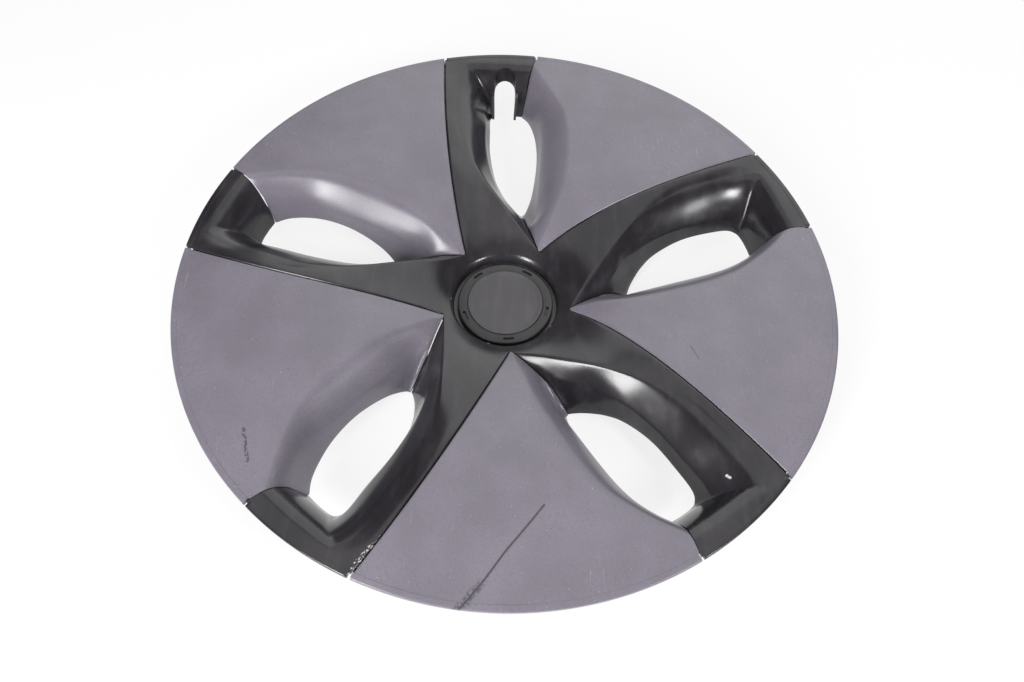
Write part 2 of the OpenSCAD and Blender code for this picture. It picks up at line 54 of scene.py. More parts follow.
# Sizes of the cover in millimetres and degrees, as in the part's source. Heights count from the rim plane.
COVER_R, COVER_H, SKIN = 245.0, 57.0, 2.6
SPOKES, PITCH = 5, 72.0
SEAM_GAP, SCARF, SEAT_GAP = 0.8, 1.1, 0.3
LIP_W, LIP_H, LIP_RISE, NOTCH_W = 4.4, 4.2, 0.12, 2.6
LEDGE_T, LEDGE_W, LEDGE_ROOT, RING_W, RING_WALL_T, RING_WALL_H = 2.4, 13.0, 2.0, 17.0, 2.6, 12.0
WELL_R, WELL_DEPTH, SLEEVE_T, WELL_FILLET, BORE_R, FLOOR_T = 41.3, 43.5, 3.0, 6.5, 25.0, 3.0
SLOT_W, SLOT_OFF, SLOT_WALL = 19.6, 7.2, 2.2
SLOT_Y, SLOT_MOUTH, SLOT_CUT_FROM = 0.88 * COVER_R, 0.835 * COVER_R, 0.79 * COVER_R
SLOT_DRAFT, SLOT_FOOT_DRAFT = radians(16), radians(2)
TOWER_H, TOWER_W, TOWER_T, TOWER_A = 34.0, 14.0, 5.0, 15.0
SPRING_T, SPRING_BOW, SPRING_W, SPRING_GAP, BOW_H = 0.8, 4.4, 11.0, 0.1, 0.72 * TOWER_H
RIB_H, RIB_LOW, RIB_FOOT, RIB_T, RIB_A, BITE = 9, 8, 3, 2.4, 110, 1
BOSS_R, BOSS_GAP, SCREW_R, SCREW_L, HEAD_R, HEAD_H = 3.2, 0.3, 1.3, 6.0, 4.6, 2.0
PAD_R, PAD_T, PAD_DROP = HEAD_R + 0.8, SCREW_L + 0.2, 0.2
CAP_RING_R, CAP_DISC_R, CAP_H, DISC_T, DISC_LET, CAP_GAP = 37.8, 29.7, 3.8, 2.2, 0.9, 0.2
HOOK_T, HOOK_REACH, HOOK_LOW, HOOK_HALF_A = 1.8, 1.4, 3.4, 10.5
HOOK_OUT = BORE_R - CAP_GAP
GRIP_A, GRIP_HALF_A, GRIP_HALF_W, GRIP_DEEP = 60, 7.5, 1.1, 1.6
CAP_HOLE_R = HOOK_OUT - HOOK_T - 2

# Levels of dish, sill and hem, and where the seams run
TIP_AT, TIP_RISE = (0.047, 0.415), 1.5
HEM_SHARE, HEM_MID = 0.147, 0.7
SILL_SHARE, SILL_BEND, SILL_MID = 0.1005, 0.2, 0.64
BOWL = (COVER_H - TIP_RISE) / (HEM_SHARE + (hypot(*TIP_AT) - HEM_MID) ** 2)
ROOT_SHARE = 0.2085
ROOT_R = ROOT_SHARE * COVER_R
EDGE_R = COVER_R - LIP_W / 2
RING_OUT = COVER_R - LIP_W - 0.5
RING_IN = RING_OUT - RING_W
RING_MID = RING_OUT - RING_W / 2
SHORT_RIM_A, SEAM_RIM_A, TIP_A = 85.25, 104.74, 60.2
PANEL_MID_A = (SHORT_RIM_A + SEAM_RIM_A - PITCH) / 2
TOWER_PLACES = (PANEL_MID_A - TOWER_A, PANEL_MID_A + TOWER_A)
SEAM_TURN, SEAM_TWIST = 12.3, 1.6
TIP_TILT, RIM_TILT = 12.7, -20.2
DISH_SHARE, DISH_RATE = 0.125, 4.64
SLOT_FOOT = -0.057 * BOWL
LEDGE_FROM, STEM_TO, RIB_OUT, TIE_R = 0.295 * COVER_R, 0.3 * COVER_R, 0.35 * COVER_R, 0.963 * COVER_R

# Knots of the window's outline on the spoke's side and on the panel's, in shares of the outer radius
SPOKE_CREASE = np.array([
    [0.0985, 0.187], [0.0562, 0.2377], [-0.0064, 0.3182], [-0.052, 0.3785], [-0.0948, 0.439], [-0.1426, 0.5195],
    [-0.186, 0.64], [-0.196, 0.745], [-0.197, 0.845], [-0.185, 0.925], [-0.16, 0.962], [-0.034, 0.9745],
    [0.0795, 0.9718]])
SPOKE_SILL = np.array([
    [0.068, 0.29], [0.036, 0.335], [0.002, 0.378], [-0.03, 0.418], [-0.0534, 0.4736], [-0.075, 0.543],
    [-0.0905, 0.64], [-0.0955, 0.745], [-0.098, 0.825], [-0.0865, 0.87], [-0.06, 0.871], [-0.008, 0.871],
    [0.0458, 0.8712]])
SPOKE_HEM = np.array([
    TIP_AT, [0.036, 0.421], [0.015, 0.4375], [-0.006, 0.46], [-0.03, 0.492], [-0.054, 0.543], [-0.0735, 0.64],
    [-0.0775, 0.745], [-0.079, 0.82], [-0.066, 0.848], [-0.045, 0.857], [-0.005, 0.858], [0.0343, 0.8547]])
SPOKE_SWELL = np.array([1.9, 1.2, 1.15, 1.15, 1.15, 1.3, 1.5, 1.6, 1.7, 1.8, 2.6, 3, 3.2])
SPOKE_FALL = np.array([0, 0.001, 0.005, 0.007, 0.0105, 0.0125, 0.0125, 0.0125, 0.0125, 0.004, 0, 0, 0])
SPOKE_DIP = np.array([0.018, 0.012, 0.01, 0.01, 0.008, 0.003, 0, 0, 0, 0, 0, 0, 0])
SEAM_SHARE = np.array([0.2085, 0.36, 0.5175, 0.674, 0.79, 0.91, 1])
PANEL_CREASE = np.array([
    [0.0985, 0.187], [0.16, 0.315], [0.192, 0.4], [0.212, 0.51], [0.214, 0.62], [0.198, 0.72], [0.165, 0.8],
    [0.125, 0.885], [0.0775, 0.972]])
PANEL_SILL = np.array([
    [0.068, 0.29, -0.142], [0.0915, 0.333, -0.139], [0.1, 0.42, -0.123], [0.1055, 0.52, -0.1105],
    [0.1085, 0.62, -0.1045], [0.107, 0.7, -0.1005], [0.098, 0.765, -0.096], [0.08, 0.825, -0.089],
    [0.052, 0.885, -0.07]])
PANEL_HEM = np.array([
    TIP_AT, [0.06, 0.425], [0.0785, 0.472], [0.0905, 0.545], [0.0948, 0.6185], [0.09, 0.695], [0.078, 0.758],
    [0.06, 0.815], [0.0343, 0.8547]])
PANEL_SWELL = np.array([1.9, 2, 2, 2, 2, 2.1, 2.4, 2.8, 3.2])
PANEL_FAR = np.array([0.2145, 0.3, 0.4, 0.54, 0.67, 0.78, 0.87, 0.94, 1])
SPOKE_END, PANEL_END = len(SPOKE_CREASE) - 1, len(PANEL_CREASE) - 1
SEAM_FROM, SEAM_TO = 3, 3 + len(SEAM_SHARE) - 1
KNOT_STEPS = 8


def dish(r):
    fall = np.exp(-DISH_RATE * (r / COVER_R - ROOT_SHARE)) - exp(-DISH_RATE * (1 - ROOT_SHARE))
    return -LIP_RISE - DISH_SHARE * BOWL * fall


def dish_slope(r):
    return DISH_SHARE * BOWL * DISH_RATE / COVER_R * np.exp(-DISH_RATE * (r / COVER_R - ROOT_SHARE))


def hem(r):
    return -BOWL * (HEM_SHARE + (r / COVER_R - HEM_MID) ** 2)


def sill(r):
    return -BOWL * (SILL_SHARE + SILL_BEND * (r / COVER_R - SILL_MID) ** 2)


def seam_a(r):
    turn = log(COVER_R / r)
    return SEAM_RIM_A + SEAM_TURN * turn + SEAM_TWIST * turn ** 3


def seam_slant(r):
    return sqrt(1 + radians(SEAM_TURN + 3 * SEAM_TWIST * log(COVER_R / r) ** 2) ** 2)


def under_skin(r):
    return dish(r) - SKIN * np.sqrt(1 + dish_slope(r) ** 2)


def seat(r):
    return under_skin(r) - SEAT_GAP


def ledge_low(r):
    return seat(r) - LEDGE_T


RING_LOW = float(seat(COVER_R)) - LEDGE_T
TOWER_LOW = RING_LOW - TOWER_H


def polar(r, a, z=0.0):
    return np.array([r * cos(radians(a)), r * sin(radians(a)), z])


def rad(p):
    return hypot(p[0], p[1])


def unit(v):
    return v / np.maximum(np.linalg.norm(v, axis=-1, keepdims=True), 1e-12)


def lift(p, z):
    return np.array([p[0], p[1], z])


def along(knots, t):
    """A point of the smooth curve that passes through the knots at whole numbers of t."""
    last = len(knots) - 1
    i = min(int(t), last - 1)
    b, c = knots[i], knots[i + 1]
    a = knots[i - 1] if i > 0 else 2 * b - c
    d = knots[i + 2] if i + 2 <= last else 2 * c - b
    u = t - i
    return b + u / 2 * (c - a + u * (2 * a - 5 * b + 4 * c - d + u * (3 * b - a - 3 * c + d)))


# A row across the skin: flat top, rounded crease, swelling slope, rounded sill and the window's wall
TOP_STEPS, SLOPE_STEPS, WALL_STEPS, ROUND_STEPS = 11, 15, 5, 4
SOFT_EDGE = ((0.0, 0.7), (0.3, 0.3), (0.75, 0.06), (1.3, 0.0))
CREASE_ROUND, SILL_ROUND, HEM_ROUND = 2.2, 1.3, 0.8
TIP_TUCK, TIP_TUCK_RISE, TIP_ROUND = np.array([-0.004, -0.001, 0]), 0.0145, 0.0042
# The panel's row starts a small share in from the crease, and its rim end turns in over another
PANEL_CORNER, RIM_RETURN = 0.03, 0.04


def bend(a, corner, b, t):
    """A point of the curve that leaves a towards the corner and arrives at b from it."""
    return a * (1 - t) ** 2 + corner * 2 * t * (1 - t) + b * t * t


def rounded(a, corner, b):
    """Points of the small curve that replaces a corner."""
    return [bend(a, corner, b, (k + 1) / (ROUND_STEPS + 1)) for k in range(ROUND_STEPS)]


def window_side(crease, lip, low, swell, near, crease_back):
    """From the crease down the slope and the window's wall to the hem, with both corners rounded."""
    tuck = (lip + low) / 2
    tuck = lift(tuck + near * COVER_R * TIP_TUCK, tuck[2] + BOWL * TIP_TUCK_RISE * near)
    control = 2 * tuck - (lip + low) / 2
    slope_l, wall_l = np.linalg.norm(crease - lip), np.linalg.norm(lip - low)

    def slope(q):
        p = lip + (crease - lip) * q
        return lift(p, crease[2] - (crease[2] - lip[2]) * (1 - q) ** swell)

    def wall(t):
        return bend(lip, control, low, t)

    # Each rounding takes no more than a small share of its side
    q_top = 1 - min(CREASE_ROUND, 0.25 * slope_l) / slope_l
    q_low = min(SILL_ROUND, 0.2 * slope_l) / slope_l
    t_top = min(SILL_ROUND, 0.25 * wall_l) / wall_l
    t_low = 1 - min(HEM_ROUND, 0.1 * wall_l) / wall_l
    row = rounded(crease_back, crease, slope(q_top))
    row += [slope(q_top + (q_low - q_top) * k / SLOPE_STEPS) for k in range(SLOPE_STEPS + 1)]
    row += rounded(slope(q_low), lip, wall(t_top))
    row += [wall(t_top + (t_low - t_top) * k / WALL_STEPS) for k in range(WALL_STEPS + 1)]
    return row + [wall((t_low + 2) / 3), low]


def spoke_edge(u):
    if u <= SEAM_FROM:
        return polar(ROOT_R, TIP_A + (seam_a(ROOT_R) - TIP_A) * u / SEAM_FROM, dish(ROOT_R))
    if u <= SEAM_TO:
        r = min(COVER_R * along(SEAM_SHARE, u - SEAM_FROM), EDGE_R)
        return polar(r, seam_a(r), dish(r))
    a = seam_a(EDGE_R) + (SHORT_RIM_A - seam_a(EDGE_R)) * (u - SEAM_TO) / (SPOKE_END - SEAM_TO)
    return polar(EDGE_R, a, dish(EDGE_R))


def on_level(knots, t, level, fall=0.0, lean=0.0):
    """A point of an outline, at the height that a surface has there."""
    p = lift(along(knots, t) * COVER_R, 0) + lean
    return lift(p, level(rad(p)) - fall)


def spoke_row(u):
    edge, fall = spoke_edge(u), BOWL * along(SPOKE_FALL, u)
    crease = on_level(SPOKE_CREASE, u, dish, fall)
    lip = on_level(SPOKE_SILL, u, sill, BOWL * along(SPOKE_DIP, u))
    low = on_level(SPOKE_HEM, u, hem)
    top_l = rad(edge - crease)
    on_seam = SEAM_FROM < u <= SEAM_TO
    shrink = min(1, 0.45 * top_l / SOFT_EDGE[-1][0])
    back_w = 1 - min(CREASE_ROUND, 0.3 * top_l) / top_l

    def top(w):
        p = edge + (crease - edge) * w
        return lift(p, dish(rad(p)) - fall * w * w)

    row = [top(d * shrink / top_l) - np.array([0, 0, drop if on_seam else 0]) for d, drop in SOFT_EDGE]
    first = SOFT_EDGE[-1][0] * shrink / top_l
    row += [top(first + (back_w - first) * k / TOP_STEPS) for k in range(1, TOP_STEPS + 1)]
    return row + window_side(crease, lip, low, along(SPOKE_SWELL, u), max(0, 1 - u), row[-1])


SPOKE_SLOPE_FROM = len(SOFT_EDGE) + TOP_STEPS


def panel_row(v):
    tip, end = v < 0.01, v > PANEL_END - 0.01
    lean = polar(1, TIP_TILT if tip else RIM_TILT) * (SEAM_GAP if tip or end else 0)
    crease = on_level(PANEL_CREASE, v, dish, lean=lean)
    lip = along(PANEL_SILL, v) * (COVER_R, COVER_R, BOWL) + lean
    low = on_level(PANEL_HEM, v, hem, lean=lean)
    near_r, near_a = rad(crease), degrees(atan2(crease[1], crease[0]))
    far_r = min(COVER_R * along(PANEL_FAR, v), EDGE_R)
    far_a = seam_a(far_r) - PITCH + degrees(SEAM_GAP / far_r * seam_slant(far_r))
    top_l = max(radians(abs(far_a - near_a)) * far_r, 1)
    bulge = COVER_R * TIP_ROUND * max(0, 1 - v)

    def top(s):
        if end:
            start = SHORT_RIM_A - degrees(SEAM_GAP / COVER_R)
            share, rest = min(1, s / RIM_RETURN), max(0, (s - RIM_RETURN) / (1 - RIM_RETURN))
            r = near_r + (EDGE_R - near_r) * share
            return polar(r, near_a + (start - near_a) * share + (far_a - start) * rest, dish(r))
        r = near_r + (far_r - near_r) * s - bulge * sin(pi * s)
        return polar(r, near_a + (far_a - near_a) * s, dish(r))

    s_first, s_last = min(CREASE_ROUND / top_l, PANEL_CORNER), 1 - min(SOFT_EDGE[-1][0] / top_l, 0.2)
    side = window_side(crease, lip, low, along(PANEL_SWELL, v), max(0, 1 - 2.5 * v), top(s_first))
    count = 2 * TOP_STEPS
    row = [top(s_first + (s_last - s_first) * k / count) for k in range(count + 1)]
    for d, drop in reversed(SOFT_EDGE[:-1]):
        row.append(top(1 - d / SOFT_EDGE[-1][0] * (1 - s_last)) - np.array([0, 0, 0 if end else drop]))
    return row[::-1] + side


PANEL_SLOPE_FROM = 2 * TOP_STEPS + len(SOFT_EDGE)


def grid_normals(g):
    di, dj = np.gradient(g, axis=0), np.gradient(g, axis=1)
    n = unit(np.cross(di, dj))
    return n * np.sign(n[..., 2:3].mean())


def soften(n, rounds):
    for _ in range(rounds):
        wide = np.pad(n, ((1, 1), (1, 1), (0, 0)), mode="edge")
        n = unit(n * 2 + wide[1:-1, :-2] + wide[1:-1, 2:] + 0.5 * (wide[:-2, 1:-1] + wide[2:, 1:-1]))
    return n


TONGUE_REACH, SOFT_ROUNDS, DEEPEST, STEEPEST = 2.2, 6, 1.5, 0.3
# How far the last two points of a row are drawn in, which rounds the hem
HEM_PULL = ((-2, 0.2), (-1, 0.7))


def tongue(shell, front, back, tilt):
    """A thin flange under a short seam, moulded to one side and reaching under the other."""
    way = unit(back - front)
    lean = TONGUE_REACH * polar(1, tilt)
    shell.ring_solid([[b - 0.4 * w, b - 0.1 * w + lean, b + 0.9 * w + lean, b + 0.9 * w]
                      for b, w in zip(back, way)])


def skin_grids(rows, slope_from, root_rows):
    """The front and back of an even skin. Its short seams lean alike, so no light shows between pieces."""
    front = np.array(rows)
    normals = grid_normals(front)
    soft = soften(normals, SOFT_ROUNDS)
    back = front - SKIN * soft
    for i, tilt in ((0, TIP_TILT), (len(front) - 1, RIM_TILT)):
        way = unit(np.gradient(front[i], axis=0))
        down = unit(np.array([0, 0, -1.0]) + way[:, 2:3] * way)
        reach = np.minimum(DEEPEST, -1 / np.minimum((soft[i] * down).sum(axis=1), -STEEPEST))
        back[i] = front[i] + SKIN * down * reach[:, None]
        back[i, slope_from - 1:] += SCARF * polar(1, tilt)
    for i in range(root_rows):
        back[i, 0] = front[i, 0] - SKIN * dish_normal(front[i, 0])
    for j, pull in HEM_PULL:
        front[:, j] -= pull * normals[:, j]
    return front, back


def dish_normal(p):
    r = rad(p)
    s = dish_slope(r)
    return unit(np.array([-s * p[0] / r, -s * p[1] / r, 1.0]))


class Shell:
    """Collects faces on points in millimetres, and becomes one mesh in metres."""

    def __init__(self):
        self.points, self.faces = [], []

    def put(self, g):
        """Adds a grid of points. Returns its two counts and the number of its first point."""
        base = len(self.points)
        self.points += [tuple(p) for p in g.reshape(-1, 3)]
        return *g.shape[:2], base

    def grid(self, g, flip=False, close_rows=False):
        n, m, base = self.put(g)
        for i in range(n if close_rows else n - 1):
            for j in range(m - 1):
                a, b = base + i * m + j, base + (i + 1) % n * m + j
                quad = (a, b, b + 1, a + 1)
                self.faces.append(quad[::-1] if flip else quad)

    def strip(self, a, b):
        """Quads between two rows of points."""
        self.grid(np.array([a, b]))

    def ring_solid(self, sections):
        """A closed solid through equal closed sections, capped at both ends."""
        n, m, base = self.put(np.array(sections))
        for i in range(n - 1):
            for j in range(m):
                a, b = base + i * m + j, base + i * m + (j + 1) % m
                self.faces.append((a, b, b + m, a + m))
        self.faces.append(tuple(base + j for j in range(m))[::-1])
        self.faces.append(tuple(base + (n - 1) * m + j for j in range(m)))

    def add(self, other, turn=0.0):
        base = len(self.points)
        c, s = cos(radians(turn)), sin(radians(turn))
        self.points += [(x * c - y * s, x * s + y * c, z) for x, y, z in other.points]
        self.faces += [tuple(base + i for i in f) for f in other.faces]

    def mesh(self, name, weld=0.002):
        mesh = bpy.data.meshes.new(name)
        mesh.from_pydata([(x * MM, y * MM, (z + COVER_H) * MM) for x, y, z in self.points], [], self.faces)
        bm = bmesh.new()
        bm.from_mesh(mesh)
        bmesh.ops.remove_doubles(bm, verts=bm.verts, dist=weld * MM)
        bmesh.ops.recalc_face_normals(bm, faces=bm.faces)
        if bm.calc_volume(signed=True) < 0:
            bmesh.ops.reverse_faces(bm, faces=bm.faces)
        bm.to_mesh(mesh)
        bm.free()
        return mesh


def turned(shell, profile, from_a, to_a, step=1.0):
    """A solid stretch of a turned part, from one angle to the other."""
    count = max(2, int(abs(to_a - from_a) / step) + 1)
    angles = [from_a + (to_a - from_a) * k / count for k in range(count + 1)]
    shell.ring_solid([[polar(r, a, z) for r, z in profile] for a in angles])


def lathe(shell, profile, segments=192):
    """A whole turned part. A profile that ends on the axis closes there."""
    rows = np.array([[polar(r, 360 * k / segments, z) for r, z in profile] for k in range(segments)])
    shell.grid(rows, close_rows=True)


def arc(cx, cz, r, from_a, to_a, count=6):
    return [(cx + r * cos(radians(a)), cz + r * sin(radians(a))) for a in np.linspace(from_a, to_a, count)]


def soft_corners(profile, sizes, count=4):
    """A closed profile with its corners rounded: sizes gives each corner's cut-back."""
    out = []
    n = len(profile)
    for k, size in enumerate(sizes):
        p, a, b = (np.array(profile[i % n], float) for i in (k, k - 1, k + 1))
        start, end = p + unit(a - p) * size, p + unit(b - p) * size
        out += [tuple(bend(start, p, end, t)) for t in np.linspace(0, 1, count)]
    return out


def linked(name, data):
    """A new object in the scene."""
    obj = bpy.data.objects.new(name, data)
    bpy.context.scene.collection.objects.link(obj)
    return obj


def make_object(name, mesh, material, sharp=38):
    mesh.materials.append(material)
    mesh.shade_smooth()
    mesh.set_sharp_from_angle(angle=radians(sharp))
    return linked(name, mesh)


def flattened(obj):
    """The evaluated object as a plain mesh, with its modifiers gone."""
    bpy.context.view_layer.update()
    done = bpy.data.meshes.new_from_object(obj.evaluated_get(bpy.context.evaluated_depsgraph_get()))
    old = obj.data
    obj.modifiers.clear()
    obj.data = done
    done.name = obj.name
    if old.users == 0:
        bpy.data.meshes.remove(old)
    return obj


def cut_away(obj, cutter_mesh):
    """Cuts a closed mesh out of an object."""
    cutter = linked("cutter", cutter_mesh)
    cut = obj.modifiers.new("cut", "BOOLEAN")
    cut.operation, cut.solver, cut.object = "DIFFERENCE", "EXACT", cutter
    flattened(obj)
    bpy.data.objects.remove(cutter)


def joined(name, parts):
    """One object from several, keeping sharp edges and materials."""
    bm = bmesh.new()
    for part in parts:
        bm.from_mesh(part.data)
    mesh = bpy.data.meshes.new(name)
    material = parts[0].data.materials[0]
    bm.to_mesh(mesh)
    bm.free()
    for part in parts:
        bpy.data.objects.remove(part)
    mesh.materials.append(material)
    return linked(name, mesh)


def bevelled(obj, width, angle=35):
    bevel = obj.modifiers.new("soft edges", "BEVEL")
    bevel.width, bevel.segments = width * MM, 2
    bevel.limit_method, bevel.angle_limit = "ANGLE", radians(angle)
    bevel.use_clamp_overlap = True
    return flattened(obj)


def repeat_tree():
    """Geometry Nodes that repeat a piece round the wheel's axis, and weld the copies where they meet."""
    name = "Repeat round the axis"
    if name in bpy.data.node_groups:
        return bpy.data.node_groups[name]
    tree = bpy.data.node_groups.new(name, "GeometryNodeTree")
    face = tree.interface
    face.new_socket("Geometry", in_out="INPUT", socket_type="NodeSocketGeometry")
    for label, kind, default in (
            ("Count", "NodeSocketInt", SPOKES), ("Pitch", "NodeSocketFloat", radians(PITCH)),
            ("Start", "NodeSocketFloat", 0.0), ("Weld Distance", "NodeSocketFloat", 0.0),
            ("Material", "NodeSocketMaterial", None)):
        socket = face.new_socket(label, in_out="INPUT", socket_type=kind)
        if default is not None:
            socket.default_value = default
    face.new_socket("Geometry", in_out="OUTPUT", socket_type="NodeSocketGeometry")
    given, points, index, turn, vector, rotation, place, real, weld, dress, result = (
        tree.nodes.new(kind) for kind in (
            "NodeGroupInput", "GeometryNodePoints", "GeometryNodeInputIndex", "ShaderNodeMath",
            "ShaderNodeCombineXYZ", "FunctionNodeEulerToRotation", "GeometryNodeInstanceOnPoints",
            "GeometryNodeRealizeInstances", "GeometryNodeMergeByDistance", "GeometryNodeSetMaterial",
            "NodeGroupOutput"))
    turn.operation = "MULTIPLY_ADD"
    for source, out, target, into in (
            (given, "Count", points, "Count"), (index, 0, turn, 0), (given, "Pitch", turn, 1),
            (given, "Start", turn, 2), (turn, 0, vector, "Z"), (vector, 0, rotation, 0),
            (points, 0, place, "Points"), (given, "Geometry", place, "Instance"),
            (rotation, 0, place, "Rotation"), (place, 0, real, 0), (real, 0, weld, "Geometry"),
            (given, "Weld Distance", weld, "Distance"), (weld, 0, dress, "Geometry"),
            (given, "Material", dress, "Material"), (dress, 0, result, 0)):
        tree.links.new(source.outputs[out], target.inputs[into])
    return tree


def repeated(obj, material, weld=0.0, pitch=-PITCH, count=SPOKES, start=0.0):
    """Runs the repeat on an object and keeps the result as a plain mesh."""
    tree = repeat_tree()
    modifier = obj.modifiers.new("round the axis", "NODES")
    modifier.node_group = tree
    values = {"Count": count, "Pitch": radians(pitch), "Start": radians(start),
              "Weld Distance": weld * MM, "Material": material}
    for item in tree.interface.items_tree:
        if item.item_type == "SOCKET" and item.in_out == "INPUT" and item.name in values:
            modifier[item.identifier] = values[item.name]
    return flattened(obj)


class Val:
    """A shader socket that takes part in expressions. Each operator adds its Math node."""

    def __init__(self, shader, socket):
        self.shader, self.socket = shader, socket

    def _math(self, operation, *others):
        return self.shader.math(operation, self, *others)

    def __add__(self, o): return self._math("ADD", o)
    def __radd__(self, o): return self._math("ADD", o)
    def __sub__(self, o): return self._math("SUBTRACT", o)
    def __mul__(self, o): return self._math("MULTIPLY", o)
    def __rmul__(self, o): return self._math("MULTIPLY", o)

    def at_least(self, o): return self._math("MAXIMUM", o)
    def at_most(self, o): return self._math("MINIMUM", o)

    def between(self, low, high):
        """0 at low, 1 at high and smooth between them. low may be the larger one."""
        return self.shader.node("ShaderNodeMapRange", {"interpolation_type": "SMOOTHSTEP"},
                                {"Value": self, "From Min": low, "From Max": high})


class Shader:
    """A procedural material on a Principled BSDF, on Object coordinates."""

    def __init__(self, name):
        self.material = bpy.data.materials.new(name)
        self.material.use_nodes = True
        self.tree = self.material.node_tree
        self.surface = self.tree.nodes["Principled BSDF"]
        self.where = self.tree.nodes.new("ShaderNodeTexCoord").outputs["Object"]

    def node(self, kind, settings=None, values=None, out=0):
        node = self.tree.nodes.new(kind)
        for key, value in (settings or {}).items():
            if key == "stops":
                ramp = node.color_ramp
                while len(ramp.elements) < len(value):
                    ramp.elements.new(0.5)
                for element, (position, colour) in zip(ramp.elements, value):
                    element.position, element.color = position, (*colour, 1)
            else:
                setattr(node, key, value)
        for key, value in (values or {}).items():
            self.give(node.inputs[key], value)
        return Val(self, node.outputs[out])

    def give(self, socket, value):
        if isinstance(value, Val):
            self.tree.links.new(value.socket, socket)
        elif isinstance(value, bpy.types.NodeSocket):
            self.tree.links.new(value, socket)
        elif isinstance(value, tuple) and len(value) == 3 and socket.type == "RGBA":
            socket.default_value = (*value, 1)
        else:
            socket.default_value = value

    def math(self, operation, *values):
        return self.node("ShaderNodeMath", {"operation": operation}, dict(enumerate(values)))

    def noise(self, scale, detail=3, stretch=(1, 1, 1), turn=0.0, shift=(0, 0, 0)):
        """Even noise with a grain of scale millimetres, drawn out along an axis by a small stretch."""
        place = self.node("ShaderNodeMapping", None, {
            "Vector": self.where, "Location": shift, "Rotation": (0, 0, radians(turn)), "Scale": stretch})
        return self.node("ShaderNodeTexNoise", None,
                         {"Vector": place, "Scale": 1 / (scale * MM), "Detail": detail, "Roughness": 0.55})

    def mix(self, a, b, share):
        return self.node("ShaderNodeMix", {"data_type": "RGBA"}, {6: a, 7: b, 0: share}, out=2)

    def bump(self, height, strength, distance):
        return self.node("ShaderNodeBump", None,
                         {"Height": height, "Strength": strength, "Distance": distance * MM})

    def finish(self, **sockets):
        for label, value in sockets.items():
            self.give(self.surface.inputs[label.replace("_", " ")], value)
        return self.material

    def vector(self, operation, out=0, **values):
        """A vector's operation on its inputs named a and b, or on a and a share."""
        places = {"a": 0, "b": 1, "share": "Scale"}
        return self.node("ShaderNodeVectorMath", {"operation": operation},
                         {places[key]: value for key, value in values.items()}, out)

    def in_plan(self):
        """The place seen from above."""
        return self.vector("MULTIPLY", a=self.where, b=(1, 1, 0))

    def mark(self, points, width, ragged=0.6):
        """A mark of a width in millimetres along a path in plan, ragged at its edges."""
        if not hasattr(self, "plan"):
            self.plan, self.rag = self.in_plan(), self.noise(3.0, 4)
        near = None
        path = [Vector((x, y, 0)) * MM for x, y in points]
        for a, b in zip(path, path[1:]):
            way = b - a
            off = self.vector("SUBTRACT", a=self.plan, b=tuple(a))
            share = self.vector("DOT_PRODUCT", out=1, a=off, b=tuple(way / way.length_squared))
            share = self.node("ShaderNodeClamp", None, {"Value": share})
            gap = self.vector("DISTANCE", out=1, a=off, b=self.vector("SCALE", a=tuple(way), share=share))
            near = gap if near is None else near.at_most(gap)
        wobble = (self.rag - 0.5) * (2 * ragged * width * MM)
        return (near + wobble).between(width * 0.75 * MM, width * 0.25 * MM)


def dusty(shader, level, colour, dust, rough, rough_dust):
    """Thin dust and wiped streaks over a colour: returns the colour and the roughness."""
    cloud = shader.noise(46, 5).between(0.38, 0.72)
    wiped = shader.noise(9, 4, stretch=(1, 0.18, 1), turn=24).between(0.45, 0.75)
    specks = shader.noise(1.3, 2, shift=(3, 7, 1)).between(0.69, 0.76)
    amount = (cloud * 0.55 + wiped * 0.45) * level + specks * (0.5 * level)
    amount = amount.at_most(1.0)
    return shader.mix(colour, dust, amount), rough + amount * (rough_dust - rough)


def scaled(colour, share, more=0.0):
    return tuple(min(1, c * share + more) for c in colour)


def frame_material(finish):
    """Satin black moulding with dust, wiped streaks and a few pale chips along one seam."""
    s = Shader("satin black moulding")
    colour, rough = dusty(s, 0.42, tuple(finish.frame_colour), (0.072, 0.067, 0.074), 0.19, 0.34)
    chips = s.mark(((-88, -227), (-81, -214), (-70, -203), (-58, -186)), 2.6, 1.6)
    chip = s.mark(((151, -150), (152.5, -151.5)), 1.6, 0.8)
    broken = s.noise(2.2, 4, shift=(5, 2, 0)).between(0.52, 0.6)
    white = (chips * broken).at_least(chip)
    colour = s.mix(colour, (0.55, 0.54, 0.52), white)
    ripple, hair = s.noise(5.5, 2), s.noise(1.1, 3, stretch=(1, 0.05, 1), turn=-31)
    height = ripple * 0.5 + hair * 0.12
    return s.finish(Base_Color=colour, Roughness=rough + white * 0.3, Normal=s.bump(height, 0.1, 0.2),
                    Specular_IOR_Level=0.5)


